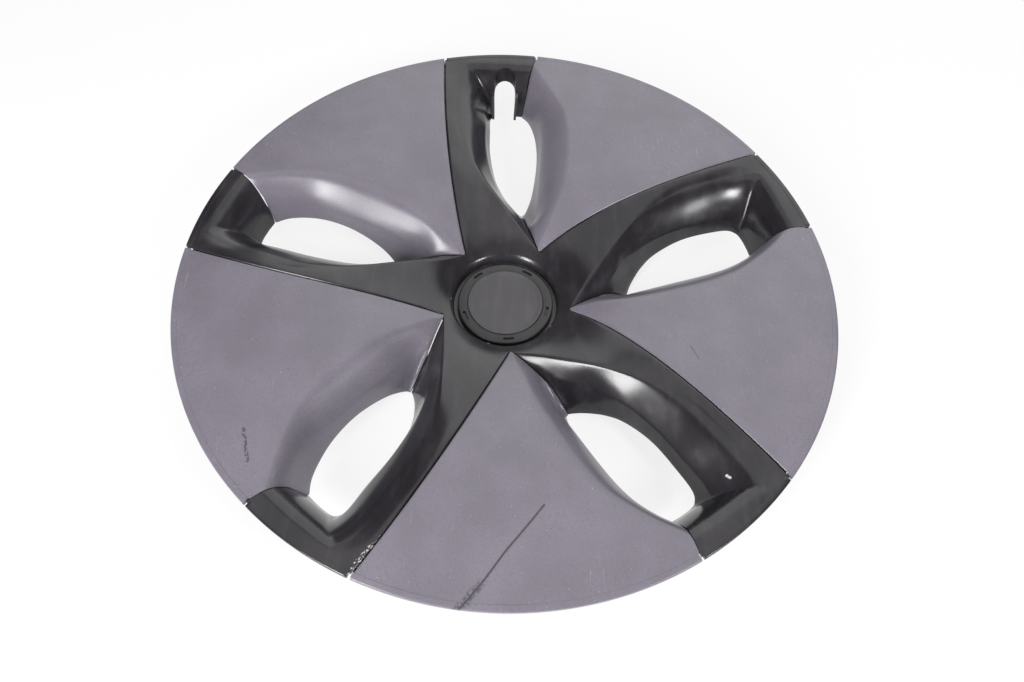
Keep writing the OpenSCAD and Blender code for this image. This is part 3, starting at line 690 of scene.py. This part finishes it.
def panel_material(finish):
    """Matt grey moulding with a fine spark grain, light scuffs and the marks of use."""
    s = Shader("matt grey moulding")
    base = tuple(finish.panel_colour)
    mottle = s.noise(34, 5).between(0.3, 0.7)
    colour = s.mix(scaled(base, 0.92), scaled(base, 1.07), mottle)
    grain = s.noise(1.1, 3)
    colour = s.mix(colour, scaled(base, 0.62), grain.between(0.48, 0.68) * 0.42)
    scratch = s.mark(((29, -178), (20, -190), (5, -209), (-7, -226.5), (-16, -238), (-22, -245)), 1.3, 0.12)
    smudge = s.mark(((-9, -229), (-17, -239), (-23, -244)), 5.0, 0.5)
    scuff = s.mark(((-170.5, -134), (-167, -145), (-163.5, -156)), 2.2, 0.35)
    spot = s.mark(((134, -55), (139, -66)), 1.2, 0.4)
    broken = s.noise(1.9, 4, shift=(1, 8, 0)).between(0.4, 0.58)
    dark = (scratch * 0.8).at_least(smudge * broken * 0.6).at_least(scuff * broken * 0.8).at_least(spot * 0.4)
    colour = s.mix(colour, (0.016, 0.015, 0.016), dark)
    pale = s.noise(1.6, 2, shift=(9, 4, 2)).between(0.735, 0.775)
    hairs = s.noise(1.2, 3, stretch=(1, 0.035, 1), turn=-38).between(0.66, 0.74)
    hairs = hairs * s.noise(38, 3).between(0.48, 0.62)
    colour = s.mix(colour, (0.5, 0.49, 0.48), (pale * 0.8).at_least(hairs * 0.3))
    rough = 0.275 + mottle * 0.05 + dark * 0.12
    height = grain * 0.8 + s.noise(6, 2) * 0.4 - dark * 0.3
    return s.finish(Base_Color=colour, Roughness=rough, Normal=s.bump(height, 0.24, 0.12),
                    Specular_IOR_Level=0.5)


def cap_material(name, colour, rough, level):
    """Plain moulding of the centre cap, with thin dust and faint turning marks."""
    s = Shader(name)
    tint, roughness = dusty(s, level, tuple(colour), scaled(colour, 2.2, 0.02), rough, rough + 0.2)
    turning = s.math("SINE", s.vector("LENGTH", out=1, a=s.in_plan()) * (2 * pi / (0.9 * MM)))
    height = turning * 0.12 + s.noise(0.7, 3) * 0.8
    return s.finish(Base_Color=tint, Roughness=roughness, Normal=s.bump(height, 0.2, 0.1))


def steel_material(name, colour, rough):
    """Rolled spring steel or zinc plate, streaked along its length and dulled in patches."""
    s = Shader(name)
    patches = s.noise(7, 4).between(0.4, 0.66)
    streaks = s.noise(0.5, 3, stretch=(1, 1, 0.08))
    return s.finish(Base_Color=s.mix(tuple(colour), scaled(colour, 0.62), patches * 0.7), Metallic=1.0,
                    Roughness=rough + patches * 0.18 + streaks * 0.08, Normal=s.bump(streaks, 0.12, 0.05))


FLOOR_GLOW, FLOOR_HALF = 0.8, 4000


def stage_material(colour):
    """Pale floor that shows white to the camera and to reflections, and keeps the cover's shadow."""
    s = Shader("pale floor")
    s.finish(Base_Color=tuple(colour), Roughness=0.9, Specular_IOR_Level=0.0)
    paths = s.tree.nodes.new("ShaderNodeLightPath").outputs
    seen = Val(s, paths["Is Camera Ray"]) + Val(s, paths["Is Glossy Ray"])
    seen = seen + Val(s, paths["Is Transmission Ray"])
    glow = s.node("ShaderNodeEmission", None, {"Color": (1.0, 1.0, 1.0), "Strength": 1.0})
    both = s.node("ShaderNodeMixShader", None,
                  {0: seen.at_most(1.0) * FLOOR_GLOW, 1: s.surface.outputs[0], 2: glow})
    s.tree.links.new(both.socket, s.tree.nodes["Material Output"].inputs["Surface"])
    return s.material


def hub_profile():
    """From the hub's front edge through well, floor, bore and sleeve to the back of the same edge."""
    root = np.array([ROOT_R, 0, dish(ROOT_R)])
    back = root - SKIN * dish_normal(root)
    fillet_from = WELL_R + WELL_FILLET / 2
    fillet_z = dish(fillet_from) - WELL_FILLET * sin(radians(120))
    floor, low, out = -WELL_DEPTH, -WELL_DEPTH - FLOOR_T, WELL_R + SLEEVE_T
    profile = [(r, dish(r)) for r in np.linspace(ROOT_R, fillet_from, 7)]
    profile += arc(WELL_R + WELL_FILLET, fillet_z, WELL_FILLET, 120, 180, 12)[1:]
    profile += [(WELL_R, fillet_z + (floor + 0.8 - fillet_z) * t) for t in (0.5, 1)]
    profile += arc(WELL_R - 0.8, floor + 0.8, 0.8, 0, -90, 4)[1:]
    profile += [(WELL_R - 5, floor), (BORE_R + 0.4, floor), (BORE_R, floor - 0.4), (BORE_R, low + 0.4),
                (BORE_R + 0.4, low), (WELL_R - 0.9, low), (WELL_R - 0.25, low - 0.25), (WELL_R, low - 0.9),
                (WELL_R, -COVER_H + 0.5), (WELL_R + 0.15, -COVER_H + 0.15), (WELL_R + 0.5, -COVER_H),
                (out - 0.5, -COVER_H), (out - 0.15, -COVER_H + 0.15), (out, -COVER_H + 0.5)]
    under = under_skin(out + 2)
    profile += [(out, under - 2.5), (out + 0.4, under - 1.1), (out + 1.6, under - 0.15)]
    profile += [(r, under_skin(r)) for r in (out + 3.2, ROOT_R - 1)]
    return profile + [(back[0], back[2])]


def stations(last):
    """Places along a window's outline, even steps between its knots."""
    return [k / KNOT_STEPS for k in range(last * KNOT_STEPS + 1)]


def star_sector():
    """A fifth of the star: one spoke, and the wedge of the hub that it grows from."""
    places = stations(SPOKE_END)
    root_rows = SEAM_FROM * KNOT_STEPS + 1
    front, back = skin_grids([spoke_row(u) for u in places], SPOKE_SLOPE_FROM, root_rows)
    shell = Shell()
    shell.grid(front, flip=True)
    shell.grid(back)
    for a, b in ((front[:, -1], back[:, -1]), (front[0], back[0]), (front[-1], back[-1]),
                 (front[root_rows - 1:, 0], back[root_rows - 1:, 0])):
        shell.strip(a, b)
    angles = [seam_a(ROOT_R) - PITCH]
    angles += [TIP_A + (seam_a(ROOT_R) - TIP_A) * u / SEAM_FROM for u in places[:root_rows]]
    tongue(shell, front[0, SPOKE_SLOPE_FROM:-1], back[0, SPOKE_SLOPE_FROM:-1], TIP_TILT)
    tongue(shell, front[-1, 1:-1], back[-1, 1:-1], RIM_TILT)
    profile = hub_profile()
    hub = np.array([[polar(r, a, z) for r, z in profile] for a in angles])
    shell.grid(hub)
    shell.strip(hub[:2, 0], hub[:2, -1])
    return shell


def slot_radius(z, grow=0.0):
    return SLOT_W / 2 + grow + (z - SLOT_FOOT) * tan(SLOT_DRAFT if z > SLOT_FOOT else SLOT_FOOT_DRAFT)


def slot_path(z, grow=0.0, mouth=SLOT_MOUTH, count=24):
    """The slot's outline at one height: down one side, round the arch and back."""
    r = slot_radius(z, grow)
    side = [(-SLOT_OFF - r, mouth + (SLOT_Y - mouth) * k / 8) for k in range(8)]
    arch = arc(-SLOT_OFF, SLOT_Y, r, 180, 0, count)
    return side + arch + [(-2 * SLOT_OFF - x, y) for x, y in reversed(side)]


def slot_cutter():
    shell = Shell()
    shell.ring_solid([[(x, y, z) for x, y in slot_path(z, mouth=SLOT_CUT_FROM)]
                      for z in (-0.9 * COVER_H, SLOT_FOOT, 2.2)])
    return shell.mesh("slot cutter")


def slot_liner(surface):
    """The slot's own wall, from just under the skin down to its foot, thick enough to stand alone."""
    behind = hem(0.857 * COVER_R) + 1
    foot = ([SLOT_MOUTH, 0.858 * COVER_R, 0.872 * COVER_R, SLOT_Y + SLOT_W / 2, COVER_R],
            [behind, behind, SLOT_FOOT * 1.5, SLOT_FOOT, SLOT_FOOT])
    levels = 7
    shell = Shell()
    sections = []
    for k, (x, y) in enumerate(slot_path(SLOT_FOOT)):
        hit = surface.ray_cast(Vector((x * MM, y * MM, 0.2)), Vector((0, 0, -1)))[0]
        base = float(np.interp(y, *foot))
        top = max(SLOT_FOOT if hit is None else hit.z / MM - COVER_H - 0.9, base + 0.4)
        ring = []
        for grow, order in ((0.0, range(levels)), (SLOT_WALL, reversed(range(levels)))):
            for n in order:
                z = base + (top - base) * n / (levels - 1)
                ring.append((*slot_path(z, grow)[k], z - (0.5 if grow and n == levels - 1 else 0)))
        sections.append(ring)
    shell.ring_solid(sections)
    return shell


def lip_profile():
    return soft_corners([(COVER_R - LIP_W, -LIP_H), (COVER_R, -LIP_H), (COVER_R, 0), (COVER_R - LIP_W, 0)],
                        (0.3, 0.6, 1.2, 0.35), 6)


def rim_lip(shell, from_a, to_a):
    notch = degrees(NOTCH_W / COVER_R / 2)
    turned(shell, lip_profile(), from_a + notch, to_a - notch, 0.6)


def beside_seam(r, w):
    return polar(r, seam_a(r) + degrees(w / r) * seam_slant(r))


def beside_strip(shell, radii, w0, w1, top, bottom, turn=0.0):
    """A strip that runs beside the long seam, between two heights that follow the dish."""
    sections = []
    for r in radii:
        a, b = beside_seam(r, w0), beside_seam(r, w1)
        sections.append([lift(p, level(rad(p)))
                         for p, level in ((a, top), (b, top), (b, bottom), (a, bottom))])
    strip = Shell()
    strip.ring_solid(sections)
    shell.add(strip, turn)


SCREW_SHARES, SCREW_SIDE_A = (0.35, 0.59, 0.82), 8


def screw_places():
    """Radius and angle of each screw of the first panel."""
    places = []
    for share in SCREW_SHARES:
        p = beside_seam(share * COVER_R, LEDGE_W / 2)
        places.append((share * COVER_R, degrees(atan2(p[1], p[0])) - PITCH))
    return places + [(RING_MID, PANEL_MID_A - SCREW_SIDE_A), (RING_MID, PANEL_MID_A + SCREW_SIDE_A)]


def pad_low(r):
    return float(seat(r - PAD_R)) - PAD_DROP - PAD_T


def tube_at(shell, r, a, profile, segments=32):
    """A small turned part whose own axis stands at a radius and an angle."""
    small = Shell()
    lathe(small, profile, segments)
    moved = Shell()
    moved.points = [(x + r, y, z) for x, y, z in small.points]
    moved.faces = small.faces
    shell.add(moved, a)


def plate(shell, outline, thickness, turn=0.0):
    """A flat plate in the plane of radius and height, seen edge-on from above."""
    solid = Shell()
    solid.ring_solid([[np.array([r, y, z]) for r, z in outline] for y in (-thickness / 2, thickness / 2)])
    shell.add(solid, turn)


def rim_side():
    """Under the rim: lip, ring with its wall, and the ties across the short seam and the spoke's end."""
    shell = Shell()
    rim_lip(shell, SHORT_RIM_A, SEAM_RIM_A)
    wall = RING_IN + RING_WALL_T
    turned(shell, soft_corners(
        [(RING_IN, seat(RING_IN)), (RING_OUT, seat(RING_OUT)), (RING_OUT, RING_LOW), (wall, RING_LOW),
         (wall, RING_LOW - RING_WALL_H), (RING_IN, RING_LOW - RING_WALL_H)],
        (0.3, 0.3, 0.5, 0.8, 0.6, 0.6), 3), SEAM_RIM_A - PITCH - 1, SHORT_RIM_A - 5)
    for out, low, top, from_a, to_a in (
            (RING_OUT - 0.03, RING_LOW + 0.03, RING_LOW + LEDGE_T, SHORT_RIM_A - 6, SHORT_RIM_A + 2),
            (EDGE_R, RING_LOW + 0.06, -SKIN / 2, SHORT_RIM_A + 1, SEAM_RIM_A - 1)):
        turned(shell, [(TIE_R, low), (out, low), (out, top), (TIE_R, top)], from_a, to_a)
    return shell


def frame_under():
    """All that a fifth of the frame carries under its face: rim, ledge, walls, rib, pads and towers."""
    shell = rim_side()
    ring_end = RING_IN + LEDGE_ROOT
    beside_strip(shell, np.linspace(LEDGE_FROM, ring_end, 60), -LEDGE_ROOT, LEDGE_W, seat, ledge_low)
    beside_strip(shell, np.linspace(ROOT_R - 0.5, STEM_TO, 30), -LEDGE_ROOT, 2.4, seat, ledge_low)
    flange_h = SKIN + LEDGE_T + 1
    beside_strip(shell, np.linspace(ROOT_R + 1.6, ring_end, 70), -2.6, -0.2,
                 lambda r: dish(r) - SKIN / 2, lambda r: dish(r) - flange_h)
    hub_in, foot = ROOT_R - 0.4, dish(ROOT_R) - flange_h + 1
    plate(shell, [(r, dish(r) - SKIN * 0.85) for r in np.linspace(hub_in, RIB_OUT, 14)]
          + [(RIB_OUT, dish(RIB_OUT) - RIB_H), (WELL_R + SLEEVE_T + RIB_FOOT, -COVER_H + RIB_LOW),
             (WELL_R + BITE, -COVER_H + RIB_LOW), (WELL_R + BITE, foot), (hub_in, foot)], RIB_T, RIB_A)
    hole = BOSS_R + BOSS_GAP
    for r, a in screw_places():
        low = pad_low(r)
        tube_at(shell, r, a, [(hole, low + PAD_T), (hole, low), (PAD_R - 0.4, low), (PAD_R, low + 0.4),
                              (PAD_R, low + PAD_T), (hole, low + PAD_T)])
    inner, outer, top = RING_MID - TOWER_T / 2, RING_MID + TOWER_T / 2, RING_LOW + LEDGE_T / 2
    for a in TOWER_PLACES:
        plate(shell, [(inner, TOWER_LOW), (outer, TOWER_LOW), (outer, top), (inner, top)], TOWER_W, a)
        plate(shell, [(inner + 0.5, TOWER_LOW + TOWER_H / 2), (inner + 0.5, RING_LOW + 0.5),
                      (RING_IN + BITE, RING_LOW + 0.5), (RING_IN + BITE, RING_LOW - 3)], RIB_T, a)
    return shell


def panel_shell():
    """The first trim panel's skin. Its nose leans out under the face."""
    front, back = skin_grids([panel_row(v) for v in stations(PANEL_END)], PANEL_SLOPE_FROM, 0)
    flat = PANEL_SLOPE_FROM - 1
    nose = np.linspace(1, 0, flat)[:, None]
    back[0, :flat] += SCARF * unit(front[0, :flat] * np.array([1, 1, 0])) * nose
    shell = Shell()
    shell.grid(front)
    shell.grid(back, flip=True)
    for a, b in ((front[:, -1], back[:, -1]), (front[0], back[0]), (front[-1], back[-1]),
                 (front[:, 0], back[:, 0])):
        shell.strip(a, b)
    return shell


def panel_trim():
    """The first trim panel's stretch of rim lip and its screw bosses."""
    shell = Shell()
    rim_lip(shell, SEAM_RIM_A - PITCH, SHORT_RIM_A)
    bore = SCREW_R + 0.3
    for r, a in screw_places():
        low, top = pad_low(r) + 0.1, float(dish(r - BOSS_R)) - 0.5
        tube_at(shell, r, a, [(bore, low), (BOSS_R - 0.3, low), (BOSS_R, low + 0.3), (BOSS_R, top),
                              (bore, top), (bore, low)], 24)
    return shell


def cap_ring_object(material):
    """The cap's ring, with five grip slots cut in its front and five hooks behind."""
    floor, rim, inner = -WELL_DEPTH, -WELL_DEPTH + CAP_H, CAP_DISC_R + CAP_GAP
    shell = Shell()
    lathe(shell, soft_corners(
        [(CAP_HOLE_R, floor), (CAP_RING_R, floor), (CAP_RING_R, rim), (inner, rim), (inner, rim - DISC_LET),
         (CAP_HOLE_R, rim - DISC_LET)],
        (0.2, 0.3, 1.5, 0.45, 0.1, 0.2), 7) + [(CAP_HOLE_R + 0.2, floor)], 240)
    ring = make_object("cap_ring_moulding", shell.mesh("cap ring"), material)
    cutter = Shell()
    middle = (CAP_RING_R + CAP_DISC_R) / 2
    for k in range(SPOKES):
        sections = []
        for a in np.linspace(-GRIP_HALF_A, GRIP_HALF_A, 15):
            half = GRIP_HALF_W * sqrt(max(0.06, 1 - max(0, (abs(a) - 5.6) / 1.95) ** 2))
            sections.append([polar(middle + side * half, GRIP_A + PITCH * k + a, z) for side, z in (
                (-1, rim - GRIP_DEEP), (1, rim - GRIP_DEEP), (1.12, rim + 1), (-1.12, rim + 1))])
        cutter.ring_solid(sections)
    cut_away(ring, cutter.mesh("grip slots"))
    ring.data.set_sharp_from_angle(angle=radians(38))
    hooks = Shell()
    catch, low, back = floor - FLOOR_T - CAP_GAP, floor - FLOOR_T - HOOK_LOW, HOOK_OUT - HOOK_T
    turned(hooks, [(back, floor + 1), (HOOK_OUT, floor + 1), (HOOK_OUT, catch), (HOOK_OUT + HOOK_REACH, catch),
                   (HOOK_OUT - 0.4, low), (back, low)], -HOOK_HALF_A, HOOK_HALF_A, 2)
    hook = make_object("hook", hooks.mesh("hook"), material)
    repeated(hook, material, pitch=PITCH)
    return joined("cap_ring_moulding", [ring, hook])


def cap_disc_object(material):
    """The cap's plain disc, with a fine step near its edge and a plug behind that fills the ring's hole."""
    low, hole = -WELL_DEPTH + CAP_H - DISC_LET, CAP_HOLE_R - CAP_GAP
    top = low + DISC_T
    profile = [(0, low - 1), (hole - 0.3, low - 1), (hole, low - 0.7), (hole, low), (CAP_DISC_R - 0.2, low),
               (CAP_DISC_R, low + 0.2), (CAP_DISC_R, top - 0.6)]
    profile += arc(CAP_DISC_R - 0.6, top - 0.6, 0.6, 0, 90, 6)[1:]
    profile += [(CAP_DISC_R - 1.5, top), (CAP_DISC_R - 1.75, top - 0.06), (CAP_DISC_R - 1.95, top - 0.2)]
    profile += [(r, top - 0.2) for r in (24, 19, 13, 7, 3)] + [(0, top - 0.2)]
    shell = Shell()
    lathe(shell, profile, 240)
    return make_object("cap_disc_moulding", shell.mesh("cap disc"), material)


def clip_object(material):
    """Two spring clips of one panel, repeated to all five panels."""
    half, low = TOWER_T / 2 + SPRING_GAP, TOWER_LOW - SPRING_GAP
    inner, outer, end = RING_MID - half, RING_MID + half, low + TOWER_H * 0.45
    bow = [(outer + SPRING_BOW * sin(pi * k / 28) ** 2, low + 1 + BOW_H * k / 28) for k in range(29)]
    outline = [(inner, end), (inner, low), (outer, low)] + bow
    outline += [(outer + tail, low + BOW_H + 3.4) for tail in (1.4, 1.4 + SPRING_T)]
    outline += [(x + SPRING_T, z) for x, z in reversed(bow)]
    outline += arc(outer, low, SPRING_T, -15, -90, 5) + arc(inner, low, SPRING_T, -90, -180, 5)
    outline += [(inner - SPRING_T, end)]
    pair = Shell()
    for a in TOWER_PLACES:
        plate(pair, outline, SPRING_W, a)
    clips = bevelled(make_object("spring_clips", pair.mesh("clip pair"), material, 30), 0.12, 40)
    return repeated(clips, material)


def screw_object(material):
    """Washer-head screws with a round socket: five under one panel, repeated to all five panels."""
    group = Shell()
    turns = 8
    for r, a in screw_places():
        top = pad_low(r)
        end = top - HEAD_H
        head = [(0, top - 0.9), (0.01, top - 0.9), (1.25, top - 0.9), (1.3, end + 0.1), (1.45, end), (2.4, end),
                (2.9, end + 0.3), (3.1, top - 0.9), (4.3, top - 0.75), (HEAD_R, top - 0.45),
                (HEAD_R - 0.05, top), (SCREW_R, top)]
        thread = []
        for k in range(turns):
            z = top + 0.3 + (SCREW_L - 1.3) * k / turns
            thread += [(SCREW_R - 0.28, z), (SCREW_R, z + 0.22), (SCREW_R - 0.28, z + 0.44)]
        tip = [(SCREW_R - 0.3, top + SCREW_L - 0.7), (0, top + SCREW_L)]
        tube_at(group, r, a, head + thread + tip, 24)
    screws = make_object("panel_screws_steel", group.mesh("screw group", 0.0005), material, 30)
    return repeated(screws, material)


class CoverSizes(bpy.types.PropertyGroup):
    bevel: bpy.props.FloatProperty(
        name="Edge softness", description="Rounding of the frame's under parts", default=0.0003, unit="LENGTH")
    sharp: bpy.props.FloatProperty(
        name="Sharp edge angle", description="Edges steeper than this are shaded sharp",
        default=radians(38), subtype="ANGLE")
    camera_lens: bpy.props.FloatProperty(
        name="Lens", description="Focal length of the camera in millimetres", default=27.14)
    camera_height: bpy.props.FloatProperty(
        name="Camera elevation", description="Angle of the camera over the floor",
        default=radians(59.207), subtype="ANGLE")


COLOUR = {"size": 3, "subtype": "COLOR"}


class CoverFinish(bpy.types.PropertyGroup):
    frame_colour: bpy.props.FloatVectorProperty(
        name="Star frame", description="Colour of the star frame", default=(0.0155, 0.0138, 0.0168), **COLOUR)
    panel_colour: bpy.props.FloatVectorProperty(
        name="Trim panels", description="Colour of the trim panels", default=(0.171, 0.157, 0.19), **COLOUR)
    ring_colour: bpy.props.FloatVectorProperty(
        name="Cap ring", description="Colour of the cap's ring", default=(0.014, 0.0135, 0.0145), **COLOUR)
    disc_colour: bpy.props.FloatVectorProperty(
        name="Cap disc", description="Colour of the cap's disc", default=(0.055, 0.052, 0.056), **COLOUR)
    spring_colour: bpy.props.FloatVectorProperty(
        name="Clips", description="Colour of the spring clips", default=(0.45, 0.44, 0.42), **COLOUR)
    screw_colour: bpy.props.FloatVectorProperty(
        name="Screws", description="Colour of the screws", default=(0.56, 0.55, 0.52), **COLOUR)
    floor_colour: bpy.props.FloatVectorProperty(
        name="Floor", description="Colour of the floor", default=(0.9, 0.9, 0.9), **COLOUR)
    key_power: bpy.props.FloatProperty(
        name="Key light", description="Power of the main soft light", default=10.0, unit="POWER")
    world_level: bpy.props.FloatProperty(
        name="Surroundings", description="Level of the soft light all round", default=0.12)


def settle(obj, slot, *nodes):
    """Hangs a piece under the body's empty and hides the CAD parts that it stands in for."""
    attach(obj, BODY)
    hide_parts(*nodes)


class COVER_OT_star_frame(bpy.types.Operator):
    """Build the star frame: hub, five spokes, valve slot and everything moulded under them"""
    bl_idname = "cover.star_frame"
    bl_label = "Star frame"

    def execute(self, context):
        sizes = context.scene.cover_sizes
        material = frame_material(context.scene.cover_finish)
        face = make_object("star face", star_sector().mesh("star sector"), material)
        repeated(face, material, weld=0.01)
        surface = BVHTree.FromObject(face, context.evaluated_depsgraph_get())
        cut_away(face, slot_cutter())
        liner = make_object("slot liner", slot_liner(surface).mesh("slot liner"), material)
        under = make_object("frame under", frame_under().mesh("frame under"), material)
        bevelled(under, sizes.bevel / MM)
        repeated(under, material)
        for part in (face, liner, under):
            part.data.shade_smooth()
            part.data.set_sharp_from_angle(angle=sizes.sharp)
        settle(joined("star_moulding", [face, liner, under]), "frame", "star_frame")
        return {"FINISHED"}


class COVER_OT_trim_panels(bpy.types.Operator):
    """Build the five trim panels with their stretches of rim lip and their screw bosses"""
    bl_idname = "cover.trim_panels"
    bl_label = "Trim panels"

    def execute(self, context):
        material = panel_material(context.scene.cover_finish)
        for k in range(SPOKES):
            skin = make_object("skin", panel_shell().mesh("skin"), material)
            trim = make_object("trim", panel_trim().mesh("trim"), material)
            panel = joined(f"trim_panel_{k + 1}", [skin, trim])
            repeated(panel, material, count=1, start=-PITCH * k)
            settle(panel, "panel", f"panel_{k + 1}")
        return {"FINISHED"}


class COVER_OT_centre_cap(bpy.types.Operator):
    """Build the centre cap: its ring with five grip slots, and its plain disc"""
    bl_idname = "cover.centre_cap"
    bl_label = "Centre cap"

    def execute(self, context):
        finish = context.scene.cover_finish
        ring = cap_material("cap ring moulding", finish.ring_colour, 0.3, 0.5)
        settle(cap_ring_object(ring), "cap_ring", "cap_ring")
        disc = cap_material("cap disc moulding", finish.disc_colour, 0.52, 0.35)
        settle(cap_disc_object(disc), "cap_disc", "cap_disc")
        return {"FINISHED"}


class COVER_OT_clips(bpy.types.Operator):
    """Build the ten spring clips and the twenty-five panel screws"""
    bl_idname = "cover.clips"
    bl_label = "Clips and screws"

    def execute(self, context):
        finish = context.scene.cover_finish
        spring = steel_material("spring steel", finish.spring_colour, 0.3)
        settle(clip_object(spring), "clip", *[f"clip_{k + 1}" for k in range(10)])
        plated = steel_material("zinc plate", finish.screw_colour, 0.34)
        settle(screw_object(plated), "screws", "panel_screws")
        return {"FINISHED"}


class COVER_OT_stage(bpy.types.Operator):
    """Set the camera, the pale floor, the soft lights and the surroundings"""
    bl_idname = "cover.stage"
    bl_label = "Stage"

    def execute(self, context):
        finish, sizes, scene = context.scene.cover_finish, context.scene.cover_sizes, context.scene
        set_camera(scene, sizes)
        floor = Shell()
        floor.points = [(FLOOR_HALF * x, FLOOR_HALF * y, -COVER_H)
                        for x, y in ((-1, -1), (1, -1), (1, 1), (-1, 1))]
        floor.faces = [(0, 1, 2, 3)]
        make_object("floor", floor.mesh("floor"), stage_material(finish.floor_colour))
        for name, at, aim, size, power in LAMPS:
            lamp = bpy.data.lights.new(name, "AREA")
            lamp.shape, lamp.energy = "RECTANGLE", power * finish.key_power
            lamp.size, lamp.size_y = size
            obj = linked(name, lamp)
            obj.location = at
            obj.rotation_euler = (Vector(aim) - Vector(at)).to_track_quat("-Z", "Y").to_euler()
        set_world(scene, finish.world_level)
        scene.view_settings.view_transform = "Standard"
        return {"FINISHED"}


# Name, place and aim in metres, size in metres and share of the key light's power
LAMPS = (
    ("left", (-0.66, -0.93, 0.64), (0.0, 0.0, 0.03), (0.3, 0.8), 1.9),
    ("right", (0.81, -0.68, 0.8), (0.0, 0.0, 0.03), (0.28, 0.28), 0.8),
    ("backdrop", (0.42, 1.35, 0.98), (0.1, 0.0, 0.4), (1.9, 1.8), 1.75),
    ("ceiling", (0.0, 0.3, 2.3), (0.0, 0.0, 0.0), (2.2, 1.8), 1.2),
)


# The camera's distance and aim in shares of the cover's radius, its roll and the picture's shift
CAMERA_FAR, CAMERA_AIM, CAMERA_ROLL = 2.2399, (-0.00804, -0.24133, 0), radians(2.109)
CAMERA_SHIFT = ((512 - 501.4) / 1024, (340.52 - 341) / 1024)


def set_camera(scene, sizes):
    """The photograph's viewpoint, from the calibrated distance, aim, roll and lens."""
    distance, aim, roll = CAMERA_FAR * COVER_R * MM, Vector(CAMERA_AIM) * COVER_R * MM, CAMERA_ROLL
    el = sizes.camera_height
    back = Vector((0, -cos(el), sin(el)))
    across, up = Vector((1, 0, 0)), back.cross(Vector((1, 0, 0)))
    right = across * cos(roll) + up * sin(roll)
    top = up * cos(roll) - across * sin(roll)
    camera = bpy.data.cameras.new("camera")
    camera.lens, camera.sensor_width, camera.sensor_fit = sizes.camera_lens, 36, "HORIZONTAL"
    camera.shift_x, camera.shift_y = CAMERA_SHIFT
    obj = linked("camera", camera)
    place = Matrix((right, top, back)).transposed().to_4x4()
    place.translation = aim + back * distance + Vector((0, 0, COVER_H * MM))
    obj.matrix_world = place
    scene.camera = obj


def set_world(scene, level):
    """Dim even light all round, and white where the camera sees it."""
    world = bpy.data.worlds.new("studio")
    scene.world = world
    world.use_nodes = True
    nodes, links = world.node_tree.nodes, world.node_tree.links
    paths, mix = nodes.new("ShaderNodeLightPath"), nodes.new("ShaderNodeMixShader")
    seen, lit = nodes.new("ShaderNodeBackground"), nodes["Background"]
    for background, strength in ((seen, 1.0), (lit, level)):
        background.inputs["Color"].default_value = (1, 1, 1, 1)
        background.inputs["Strength"].default_value = strength
    links.new(paths.outputs["Is Camera Ray"], mix.inputs[0])
    links.new(lit.outputs[0], mix.inputs[1])
    links.new(seen.outputs[0], mix.inputs[2])
    links.new(mix.outputs[0], nodes["World Output"].inputs["Surface"])


class VIEW3D_PT_wheel_cover(bpy.types.Panel):
    bl_label = "Wheel cover"
    bl_space_type = "VIEW_3D"
    bl_region_type = "UI"
    bl_category = "Wheel cover"

    def draw(self, context):
        for group in (context.scene.cover_sizes, context.scene.cover_finish):
            for key in group.bl_rna.properties.keys():
                if key not in ("rna_type", "name"):
                    self.layout.prop(group, key)
        for operator in OPERATORS:
            self.layout.operator(operator.bl_idname)


OPERATORS = (COVER_OT_star_frame, COVER_OT_trim_panels, COVER_OT_centre_cap, COVER_OT_clips, COVER_OT_stage)
CLASSES = (CoverSizes, CoverFinish, *OPERATORS, VIEW3D_PT_wheel_cover)


def register():
    for cls in CLASSES:
        bpy.utils.register_class(cls)
    bpy.types.Scene.cover_sizes = bpy.props.PointerProperty(type=CoverSizes)
    bpy.types.Scene.cover_finish = bpy.props.PointerProperty(type=CoverFinish)


def unregister():
    del bpy.types.Scene.cover_finish
    del bpy.types.Scene.cover_sizes
    for cls in reversed(CLASSES):
        bpy.utils.unregister_class(cls)


def main():
    register()
    for operator in OPERATORS:
        group, call = operator.bl_idname.split(".")
        getattr(getattr(bpy.ops, group), call)()


if __name__ == "__main__":
    main()
